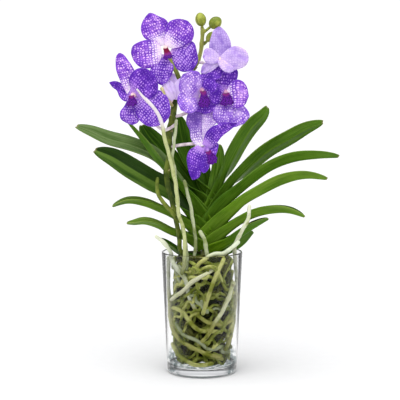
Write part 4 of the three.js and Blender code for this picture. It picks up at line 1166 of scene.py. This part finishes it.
# %% The measured flowers
FLOWERS = {
    "flower_1": {
        "centre": [-52, -46, 477], "face": [0.05, -1, 0.05], "lip": [0.25, -0.2, -1],
        "lip_size": (0.85, 1.05), "velvet": "rosy_lip", "stalk_finish": "flower_stem_skin",
        "stalk_size": 1.4,
        "stalk": [[-31, -27, 422], [-32, -37, 429], [-35, -46, 440], [-41, -47, 452], [-50, -44, 472]],
        "dusk": [
            (-77, 523, 5), (-75, 486, 7), (-49, 507, 7), (-20, 514, 6), (-26, 487, 11), (-12, 463, 6),
            (-56, 455, 7), (-53, 445, 6), (-58, 438, 5), (-98, 472, 7), (-14, 450, 6),
        ],
        "light": [(-62, 487, 9), (-50, 488, 9)],
        "blades": {
            "dorsal_sepal": ((-46, -49), {},
                [(-60, 480), (-71, 486), (-82, 491), (-87, 503), (-85, 514), (-80, 522), (-75, 527)],
                [(-48, 482), (-46, 494), (-46, 508), (-51, 517), (-61, 522), (-69, 526)]),
            "right_sepal": ((-46, -50), {"front": "netted_low"},
                [(-47, 470), (-44, 460), (-37, 448), (-26, 443), (-13, 446)],
                [(-43, 477), (-26, 487), (-12, 486), (-7, 472), (-6, 458)]),
            "left_sepal": ((-46, -53), {"front": "netted_low"},
                [(-58, 469), (-68, 458), (-74, 446), (-71, 433), (-58, 424)],
                [(-46, 467), (-40, 453), (-43, 439), (-50, 429)]),
            "right_petal": ((-49, -54), {},
                [(-53, 481), (-54, 494), (-52, 505), (-47, 514), (-34, 518), (-21, 516)],
                [(-43, 476), (-29, 479), (-15, 486), (-11, 497), (-14, 508)]),
            "left_petal": ((-49, -52), {},
                [(-57, 465), (-64, 453), (-77, 448), (-88, 450), (-97, 459), (-101, 469)],
                [(-58, 479), (-68, 487), (-78, 489), (-89, 486), (-99, 479)]),
        },
    },
    "flower_2": {
        "centre": [-97, -50, 411], "face": [-0.35, -1, 0], "lip": [0, -0.3, -1], "lip_size": (1.1, 1.0),
        "stalk": [
            [-37, -40, 370], [-45, -44, 364], [-55, -46, 361], [-68, -44, 370], [-82, -43, 388],
            [-95, -46, 408],
        ],
        # Painted shade; the three small smudges in a line are a root's painted shadow.
        "dusk": [
            (-74, 435, 8), (-54, 380, 9), (-71, 398, 4), (-66, 391, 4), (-60, 383, 4), (-97, 387, 7),
            (-122, 424, 7), (-109, 419, 7), (-108, 395, 6), (-88, 392, 6),
        ],
        "light": [(-99, 422, 7)],
        "blades": {
            "dorsal_sepal": ((-50, -52), {},
                [(-107, 412), (-117, 432), (-122, 446), (-123, 459), (-122, 466), (-117, 471)],
                [(-94, 415), (-92, 435), (-99, 452), (-106, 462), (-111, 468)]),
            "right_sepal": ((-50, -62), {"front": "netted_low"},
                [(-101, 405), (-97, 390), (-91, 377), (-80, 368), (-68, 366), (-55, 370)],
                [(-90, 412), (-74, 417), (-60, 418), (-48, 407), (-45, 394), (-46, 381)]),
            "left_sepal": ((-50, -50), {"front": "netted_low"},
                [(-105, 407), (-111, 395), (-117, 387), (-116, 377), (-108, 371), (-100, 368)],
                [(-93, 405), (-88, 392), (-88, 380), (-92, 371)]),
            "right_petal": ((-53, -64), {"front": "netted_dark"},
                [(-100, 414), (-104, 432), (-99, 443), (-89, 449), (-76, 447), (-66, 438)],
                [(-88, 405), (-74, 405), (-64, 412), (-62, 426)]),
            "left_petal": ((-52, -34), {"front": "netted_dark"},
                [(-100, 402), (-111, 402), (-118, 408), (-122, 417), (-129, 422), (-134, 429)],
                [(-98, 415), (-105, 423), (-115, 428), (-125, 431)]),
        },
    },
    "flower_3": {
        "centre": [-45, -43, 403], "face": [-0.1, 0.5, 0.85], "lip": [0, 0.9, 0.3],
        "stalk_finish": "cream_stalk", "turned_away": True,
        "stalk": [[-43, -36, 396], [-47, -46, 401], [-53, -54, 409], [-57, -54, 420]],
        "blades": {
            "dorsal_sepal": ((-39, -41), {"back": "white_back"},
                [(-47, 407), (-53, 418), (-54, 428), (-50, 438), (-44, 442)],
                [(-40, 407), (-34, 418), (-33, 429), (-36, 439)]),
            "left_sepal": ((-47, -49), {"back": "white_back"},
                [(-44, 402), (-52, 411), (-56, 419), (-57, 426), (-54, 432)],
                [(-39, 405), (-42, 415), (-46, 424), (-50, 431)]),
            "right_sepal": ((-41, -43), {"back": "white_back"},
                [(-43, 405), (-40, 415), (-37, 426), (-34, 434), (-30, 438)],
                [(-36, 404), (-30, 412), (-26, 421), (-26, 432)]),
            "left_petal": ((-45, -47), {"back": "white_back"},
                [(-43, 404), (-52, 418), (-52, 426), (-49, 432)], [(-37, 407), (-37, 418), (-42, 429)]),
            "right_petal": ((-43, -45), {"back": "white_back"},
                [(-43, 407), (-42, 418), (-39, 428), (-32, 435)],
                [(-37, 405), (-30, 411), (-26, 418), (-26, 428)]),
        },
    },
    "flower_4": {
        "centre": [-1, -56, 418], "face": [0.3, -1, -0.1], "lip": [0.15, -0.3, -1],
        "lip_size": (1.15, 1.45), "column": "rosy_column",
        "stalk": [[-38, -34, 380], [-28, -36, 383], [-18, -38, 388], [-8, -42, 400], [-1, -49, 413]],
        "dusk": [
            (-26, 395, 6), (-8, 422, 6), (-7, 414, 7), (-4, 405, 7), (-3, 396, 7), (11, 435, 7),
            (8, 421, 7), (6, 398, 8),
        ],
        "light": [(-22, 424, 8), (-18, 402, 7), (-6, 425, 4), (-3, 419, 4)],
        "blades": {
            "dorsal_sepal": ((-52, -38), {"front": "netted_dark", "bow": 5},
                [(-2, 421), (-3, 435), (1, 446), (8, 452), (17, 455)],
                [(8, 421), (18, 431), (27, 436), (30, 446), (26, 452)]),
            "right_sepal": ((-50, -46), {"front": "netted_dark"},
                [(-4, 407), (-11, 399), (-11, 390), (-2, 384)],
                [(10, 410), (22, 404), (22, 394), (10, 385)]),
            "left_sepal": ((-54, -74), {"front": "netted_pale"},
                [(-6, 414), (-20, 419), (-33, 412), (-35, 401), (-30, 390)],
                [(-3, 404), (-5, 393), (-13, 386), (-23, 386)]),
            "right_petal": ((-56, -52), {"front": "netted_dark", "bow": 6},
                [(-2, 415), (0, 426), (6, 434), (13, 435), (19, 431)],
                [(7, 409), (14, 412), (20, 418), (21, 425)]),
            "left_petal": ((-56, -76), {"front": "netted_pale"},
                [(-6, 405), (-20, 405), (-31, 414), (-33, 426), (-27, 440)],
                [(-2, 415), (0, 430), (-4, 443), (-15, 445)]),
        },
    },
    "flower_5": {
        "centre": [33, -46, 415], "face": [0.1, -1, -0.1], "lip": [0.2, -0.4, -1],
        "lip_size": (1.35, 1.1), "column": "rosy_column",
        "stalk": [[-14, -24, 445], [2, -22, 434], [20, -28, 422], [32, -42, 416]],
        "dusk": [(45, 429, 7), (20, 415, 10), (41, 404, 6), (33, 394, 7), (28, 370, 6), (46, 369, 5)],
        "light": [(55, 414, 7), (28, 421, 4), (34, 421, 4), (51, 385, 6)],
        "blades": {
            "dorsal_sepal": ((-44, -38), {"front": "netted_dark"},
                [(28, 415), (17, 426), (14, 438), (20, 448), (37, 452)],
                [(38, 415), (46, 425), (51, 436), (51, 446)]),
            "right_sepal": ((-46, -50), {"front": "netted_pale"},
                [(31, 404), (33, 391), (34, 376), (44, 365), (60, 370)],
                [(41, 407), (55, 399), (64, 391), (68, 381)]),
            "left_sepal": ((-48, -50), {"front": "netted_pale"},
                [(24, 405), (17, 394), (15, 379), (28, 363)], [(38, 405), (44, 394), (43, 378)]),
            "right_petal": ((-49, -62), {},
                [(35, 402), (42, 394), (52, 392), (61, 397), (66, 409)],
                [(34, 415), (41, 429), (49, 433), (58, 430), (64, 421)]),
            "left_petal": ((-48, -60), {"front": "netted_dark"},
                [(31, 402), (20, 397), (11, 404), (10, 417)], [(34, 415), (25, 426), (15, 428)]),
        },
    },
    "flower_6": {
        "centre": [25, -50, 461], "face": [0.6, 0.6, 0.5], "lip": [0.2, 0.7, -0.7], "turned_away": True,
        "stalk": [[-4, -22, 458], [7, -32, 456], [17, -43, 458], [23, -48, 460]],
        "blades": {
            "dorsal_sepal": ((-50, -46), {"back": "dusky_back"},
                [(18, 459), (11, 469), (10, 481), (13, 494), (17, 503), (24, 508)],
                [(31, 460), (40, 470), (41, 483), (37, 494), (31, 503)]),
            "right_sepal": ((-54, -60), {"back": "pale_back"},
                [(21, 460), (24, 452), (30, 445), (39, 442)], [(31, 460), (41, 453), (46, 447)]),
            "left_sepal": ((-50, -47), {"back": "pale_back"},
                [(28, 456), (18, 448), (7, 441), (-2, 442)], [(24, 463), (11, 459), (1, 453)]),
            "right_petal": ((-52, -51), {"back": "pale_back"},
                [(24, 457), (31, 451), (41, 446), (54, 448), (62, 453), (66, 462)],
                [(27, 467), (37, 476), (46, 480), (55, 478), (63, 472)]),
            "left_petal": ((-51, -57), {"back": "pale_back"},
                [(27, 457), (17, 455), (8, 455), (1, 463)], [(24, 467), (14, 476), (5, 476)]),
        },
    },
    "flower_7": {
        "centre": [6, -57, 334], "face": [0.3, -1, -0.2], "lip": [0.45, -0.3, -0.8],
        "lip_size": (1.0, 1.2), "column": "lilac_column",
        "stalk": [[-45, -38, 336], [-33, -43, 339], [-18, -46, 341], [-8, -46, 341], [2, -46, 338]],
        "dusk": [(-14, 301, 9), (1, 311, 9), (0, 321, 7), (10, 357, 9), (-10, 387, 7), (-7, 375, 6)],
        "light": [(1, 367, 7), (1, 343, 6)],
        "blades": {
            "dorsal_sepal": ((-53, -44), {"front": "netted_soft"},
                [(-6, 336), (-16, 348), (-18, 360), (-23, 372), (-20, 385), (-10, 392)],
                [(3, 338), (0, 354), (0, 368), (-2, 385)]),
            "right_petal": ((-50, -42), {"front": "netted_faint"},
                [(-3, 338), (-4, 358), (-4, 378), (1, 389), (13, 395)],
                [(7, 341), (11, 361), (20, 370), (27, 380), (26, 391)]),
            "left_petal": ((-56, -74), {"front": "netted_dark"},
                [(0, 341), (6, 359), (15, 367), (32, 372), (50, 372)],
                [(11, 334), (21, 343), (28, 352), (38, 360), (46, 367)]),
            "right_sepal": ((-51, -64), {"front": "netted_dark"},
                [(-2, 336), (-7, 319), (-6, 306), (3, 300)],
                [(10, 341), (23, 343), (20, 327), (13, 315), (9, 305)]),
            "left_sepal": ((-55, -60), {"front": "netted_dark"},
                [(-6, 340), (-18, 333), (-22, 323), (-21, 310), (-18, 298), (-13, 290)],
                [(4, 334), (3, 319), (0, 304), (-4, 294)]),
        },
    },
}
print("flowers:", len(FLOWERS))

# %% Build every flower
for name, flower in FLOWERS.items():
    perianth, centre = f"{name}_perianth", flower["centre"]
    face = Vector(flower["face"]).normalized()
    down = Vector(flower["lip"])
    down = (down - face * down.dot(face)).normalized()
    for part_name, (depths, ways, left, right) in flower["blades"].items():
        lay_blade(f"{name}_{part_name}", perianth, flower, depths, left, right, **ways)
    column_skin = finish(flower.get("column", "cream_column"))
    make_column(f"{name}_column", perianth, centre, face, down, column_skin)
    velvet = finish(flower.get("velvet", "velvet_lip"))
    lip_size = flower.get("lip_size", (1, 1))
    make_lip(f"{name}_velvet_lip", f"{name}_lip", centre, face, down, *lip_size, velvet)
    skin, size = flower.get("stalk_finish", "pink_stalk"), flower.get("stalk_size", 1)
    make_stalk(f"{name}_ovary_stalk", flower["stalk"], skin, f"{name}_stalk", size)
    print(name, "built")

# %% [markdown]
# ## Root finishes
# A vanda's root is a thin wire in a thick spongy coat. Dry, the coat is silvery white; damp, it
# lets the green core show and turns olive. So the finishes differ mostly in how much olive
# comes through, in long soft patches, with a fine mottle over all and brown where old.

# %% Mix the root finishes
OLIVE_TONES = (190, 190, 110), (138, 146, 52)
SAGE_TONES = (188, 194, 138), (138, 148, 74)


def root_finish(name, pale, damp, old, damp_share, old_share, dry_above=0, wet_tones=OLIVE_TONES):
    """Pale, damp and old in patches. Below dry_above the root is wet and takes the wet tones."""
    pale, damp, old = tint(*pale), tint(*damp), tint(*old)
    material, tree, shader = new_finish(name, 0.75, 0.15)
    place = object_place(tree)
    if dry_above:
        wet = fade(tree, split(tree, place)[2], (dry_above + 8) * MM, (dry_above - 8) * MM)
        wet_pale, wet_damp = wet_tones
        pale = mix_colour(tree, wet, pale, tint(*wet_pale))
        damp = mix_colour(tree, wet, damp, tint(*wet_damp))
    patches = clouds(tree, place, 48, 3.0)
    mottle = clouds(tree, place, 520, 3.0)
    wear = clouds(tree, place, 95, 4.0)
    damp_shift, wear_shift = damp_share * 0.3, old_share * 0.25
    colour = mix_colour(tree, fade(tree, patches, 0.62 - damp_shift, 0.78 - damp_shift), pale, damp)
    colour = mix_colour(tree, fade(tree, mottle, 0.45, 0.7, 0.0, 0.3), colour, damp)
    worn = fade(tree, wear, 0.68 - wear_shift, 0.82 - wear_shift, 0.0, 0.75)
    paint(tree, shader, mix_colour(tree, worn, colour, old))
    raise_bumps(tree, shader, mottle, 0.3 * MM, 0.4)
    return material


ROOT_TONES = {
    "white_root": ((228, 218, 224), (196, 190, 178), (150, 140, 120), 0.35, 0.15, 366, SAGE_TONES),
    "sage_root": ((186, 194, 156), (140, 152, 96), (118, 112, 72), 0.45, 0.2),
    "silver_root": ((255, 255, 216), (240, 244, 184), (170, 166, 110), 0.3, 0.1),
    "olive_root": ((220, 222, 139), (152, 161, 60), (110, 103, 38), 0.55, 0.3),
    "moss_root": ((168, 177, 85), (108, 121, 31), (76, 72, 22), 0.6, 0.4),
    "brown_root": ((96, 99, 38), (65, 74, 16), (43, 38, 9), 0.6, 0.6),
    # Painted shade: the inner layer is coloured as the dark gaps deep in the tangle.
    "dark_root": ((78, 80, 30), (44, 52, 14), (34, 30, 12), 0.6, 0.5),
    "rim_root": ((216, 224, 198), (188, 198, 152), (143, 139, 87), 0.4, 0.2, 178),
    "ring_root": ((228, 232, 208), (198, 206, 156), (143, 139, 87), 0.4, 0.2, 104),
    "slope_root": ((252, 255, 212), (222, 228, 162), (143, 139, 87), 0.4, 0.2, 84),
    "wall_root": ((220, 222, 198), (184, 192, 142), (125, 121, 65), 0.5, 0.3, 120),
}
for name, recipe in ROOT_TONES.items():
    root_finish(name, *recipe)
print("root finishes:", len(ROOT_TONES))

# %% [markdown]
# ## Roots that show one by one
# Fourteen roots show clearly: some in the open air, and the rest against the glass. Each
# follows its own measured line, with small bends that come from noise. The noise is given a
# seed of its own, because without one it starts from the clock and bends them anew each time.

# %% Grow the measured roots
ROOTS = {
    "root_long_aerial": ("white_root", [
        [-91, -84, 418], [-78, -80, 404], [-65, -76, 389], [-58, -72, 376], [-54, -68, 358],
        [-49, -64, 333], [-42, -60, 305], [-37, -56, 276], [-34, -52, 247], [-31, -50, 232],
        [-26, -47, 210], [-25, -44, 188], [-26, -43, 166], [-28, -43, 153],
    ]),
    "root_thin_aerial": ("sage_root", [
        [-36, -48, 374], [-38, -50, 355], [-41, -51, 334], [-42, -51, 322], [-40, -50, 304],
        [-38, -48, 289], [-36, -46, 268], [-33, -42, 243], [-29, -38, 222], [-25, -36, 201],
        [-22, -34, 183], [-22, -34, 163], [-24, -32, 146],
    ]),
    "root_front": ("sage_root", [
        [-25, -34, 287], [-22, -33, 274], [-19, -32, 259], [-16, -31, 245], [-14, -29, 230],
        [-11, -27, 215], [-9, -24, 193], [-12, -25, 170], [-15, -30, 152],
    ]),
    "root_short": ("sage_root", [[-2, -36, 213], [4, -35, 200], [7, -33, 179], [9, -30, 160]]),
    "root_left_ring": ("ring_root", [
        [-66, -40, 206], [-57, -36, 198], [-47, -27, 184], [-44, -20, 168], [-37, -32, 159],
        [-29, -38.5, 150], [-23, -40.5, 140], [-20, -39, 122], [-13, -40, 107], [-6, -40, 92],
        [3, -42, 84], [13, -40, 80], [29, -30, 76], [40, -20, 78], [44, -16, 88],
    ]),
    "root_right_wall": ("wall_root", [
        [69, -40, 251], [65, -40, 230], [57, -36, 214], [51, -28, 200], [48, -18, 184],
        [51, -6, 166], [52, -4, 140], [51, -6, 115], [48, -9, 88], [42, -20, 60], [34, -30, 40],
    ]),
    "root_thick_rim": ("rim_root", [
        [52, -34, 198], [40, -36, 187], [29, -33, 181], [19, -38, 182], [11, -40, 179],
        [3, -43, 172], [-5, -44, 167], [-10, -43, 159], [-17, -41, 154],
    ]),
    "root_crossing": ("silver_root", [
        [25, -24, 160], [17, -34, 157], [3, -46, 151], [-7, -49, 146], [-16, -47, 140],
        [-24, -44, 131], [-34, -37, 120], [-44, -24, 112],
    ]),
    "root_olive": ("olive_root", [
        [31, -36, 172], [22, -42, 155], [13, -46, 133], [6, -47, 111], [1, -45, 95],
    ]),
    "root_low_left": ("olive_root", [
        [-41, -29, 100], [-28, -41, 96], [-20, -44, 86], [-12, -46, 76], [1, -43, 69],
        [13, -41, 68], [27, -34, 66],
    ]),
    "root_right_slope": ("slope_root", [
        [45, -23, 135], [37, -34, 114], [28, -41, 95], [18, -46, 81], [11, -47.5, 67], [3, -45, 57],
        [-5, -41, 48],
    ]),
    "root_left_wall": ("wall_root", [
        [-50, -8, 168], [-51, -4, 148], [-51, -2, 128], [-48, -15, 106], [-45, -18, 83],
        [-41, -26, 65], [-32, -36, 54], [-20, -43, 47], [-6, -47, 41], [11, -46, 35], [28, -36, 27],
    ]),
    "root_low_middle": ("olive_root", [[20, -38, 48], [12, -40, 40], [3, -39.5, 33]]),
    "root_bottom": ("olive_root", [
        [-43, -18, 44], [-36, -28, 33], [-25, -35, 24], [-12, -40, 19], [2, -41, 18], [14, -40, 20],
    ]),
}
ROOT_RADIUS = 3.0 * MM
THIN_ROOTS = {"root_long_aerial": 2.7 * MM, "root_thin_aerial": 2.2 * MM, "root_front": 2.5 * MM}
BEND = 1.4 * MM
noise.seed_set(41)


def grow_root(line, radius, skin, seed, corners=12, tip=1.0):
    shift = Vector((seed, 0, 0))
    bent = [point + noise.noise_vector(point * 60 + shift) * BEND for point in line]
    radii = living_radii(line, radius, 0.2, 110, seed)
    radii = [girth * mix(tip, 1.0, ease(0, 0.12, i / len(radii))) for i, girth in enumerate(radii)]
    root = draw_stalk(bent, radii, corners)
    root.data.materials.append(finish(skin))
    return root


for number, (name, (skin, path)) in enumerate(ROOTS.items()):
    rough = smooth_line(path)
    steps = max(20, round(length_of(rough) / (2.5 * MM)))
    girth = THIN_ROOTS.get(name, ROOT_RADIUS)
    tip = 0.55 if name == "root_long_aerial" else 1.0
    root = grow_root(even_steps(rough, steps), girth, skin, number * 3.1, tip=tip)
    settle(root, f"{name}_velamen", "root", name)
print("measured roots:", len(ROOTS))

# %% [markdown]
# ## The mass of old roots
# Behind them the vase is packed. No one could measure each of these, so they are grown: each
# root turns round the glass one way or the other, at about a level of its own, and wanders up
# and down as it goes. The numbers come from a seeded dice, so it grows the same mass each time.
# There are three layers: thick roots inside, coloured dark as painted shade for the deep gaps of
# the tangle, brown and mossy ones round them, and mossy and olive ones next to the glass. Each
# layer ends a little lower than the one before.

# %% Let a root wander
dice = random.Random(41)


def room_at(height_mm):
    """How far from the middle the mass reaches: full in the middle, rounded at the foot."""
    return mix(38, 46, ease(8, 60, height_mm))


LOWEST, WANDER_STEPS = 17, 16


def wandering_root(rank, inner, outer, turns, climb, top):
    """Round and round the glass at about its own level, up and down as it goes."""
    turn = dice.uniform(0, math.tau)
    way = dice.choice((-1, 1)) * dice.uniform(0.6, 1) * turns
    share = dice.uniform(inner, outer)
    level, slope = mix(LOWEST, top, rank), dice.uniform(-climb, climb)
    beat, phase = dice.uniform(0.6, 1.6), dice.uniform(0, math.tau)
    points = []
    for i in range(WANDER_STEPS + 1):
        t = i / WANDER_STEPS
        turn += way / WANDER_STEPS * dice.uniform(0.2, 1.8)
        sway = 8 * math.sin(beat * math.tau * t + phase) + dice.uniform(-5, 5)
        height = LOWEST + abs(level + slope * (t - 0.5) + sway - LOWEST)
        height = top - abs(top - height)
        radius = share * dice.uniform(0.94, 1.03) * room_at(height)
        points.append([radius * math.cos(turn) + 1, radius * math.sin(turn), height])
    return smooth_line(points)


def grow_layer(name, count, skins, radius, *wander):
    grown = []
    for number in range(count):
        line = wandering_root((number + 0.5) / count, *wander)
        steps = max(24, round(length_of(line) / (4 * MM)))
        size = radius * dice.uniform(0.8, 1.1)
        skin = dice.choice(skins)
        grown.append(grow_root(even_steps(line, steps), size, skin, number, 8))
    return settle(join(grown), name, "old_root", "root_tangle")


# %% Grow the three layers
MIDDLE_SKINS = ["brown_root", "moss_root"]
OUTER_SKINS = ["olive_root", "moss_root", "moss_root", "sage_root", "moss_root", "olive_root"]
# The inner layer's dark colour is painted shade.
grow_layer("dark_shade_roots_inside", 70, ["dark_root"], ROOT_RADIUS * 1.3, 0.3, 0.82, 7, 50, 176)
grow_layer("old_roots_between", 36, MIDDLE_SKINS, ROOT_RADIUS * 0.9, 0.84, 0.92, 3.4, 130, 168)
layer = grow_layer("old_roots_outside", 40, OUTER_SKINS, ROOT_RADIUS * 0.85, 0.94, 1, 2.8, 130, 164)
print("faces in the outer layer:", len(layer.data.polygons))

# %% [markdown]
# ## Stage, light and camera
# A plain pale table that reaches far back, a bright sky and one broad soft lamp overhead. The
# sky is white at eye level and greyer overhead, which gives the glossy leaves something to
# reflect, and dark low down behind the camera, for the dark lines in the glass foot. The lit
# table is as bright as the sky, so no horizon shows.

# %% Set the table
def table_finish():
    material, tree, shader = new_finish("white_table", 0.9, 0.0)
    grain = clouds(tree, object_place(tree), 60, 3.0)
    paint(tree, shader, mix_colour(tree, grain, (0.79, 0.79, 0.79, 1), (0.82, 0.82, 0.82, 1)))
    return material


let_go()
bpy.ops.mesh.primitive_plane_add(size=60)
table = bpy.context.object
table.name = "white_table"
table.data.materials.append(table_finish())
table.visible_glossy = False
table.visible_transmission = False
print("table size in metres:", table.dimensions.x)

# %% Light the scene
WHITE_SKY, GREY_SKY, DARK_SKY = (1.06, 1.06, 1.06, 1), (0.56, 0.56, 0.58, 1), (0.02, 0.02, 0.02, 1)
world = bpy.data.worlds.new("soft_sky")
bpy.context.scene.world = world
world.use_nodes = True
sky = world.node_tree
_, towards, upwards = split(sky, sky.nodes.new("ShaderNodeTexCoord").outputs["Generated"])
low_behind = times(sky, fade(sky, upwards, -0.1, -0.2), fade(sky, towards, -0.5, -0.85))
sky_tone = mix_colour(sky, fade(sky, upwards, 0.08, 0.35), WHITE_SKY, GREY_SKY)
sky_tone = mix_colour(sky, low_behind, sky_tone, DARK_SKY)
sky.links.new(sky_tone, sky.nodes["Background"].inputs["Color"])

let_go()
bpy.ops.object.light_add(type="SUN", rotation=(math.radians(24), math.radians(-4), 0))
lamp = bpy.context.object
lamp.data.energy = 2.68
lamp.data.angle = math.radians(80)
print("lamp strength:", lamp.data.energy)

# %% Place the camera
CAMERA_PLACE, LOOKS_DOWN = (-0.003, -1.735, 0.416), 5.26
PICTURE_WIDTH, FOCAL_LENGTH, SENSOR_WIDTH = 400, 1180, 36
turned = (math.radians(90 - LOOKS_DOWN), 0, 0)
bpy.ops.object.camera_add(location=CAMERA_PLACE, rotation=turned)
camera = bpy.context.object
camera.data.sensor_width = SENSOR_WIDTH
camera.data.lens = SENSOR_WIDTH * FOCAL_LENGTH / PICTURE_WIDTH
bpy.context.scene.camera = camera
bpy.context.scene.view_settings.view_transform = "Standard"
print("lens in mm:", round(camera.data.lens, 1))
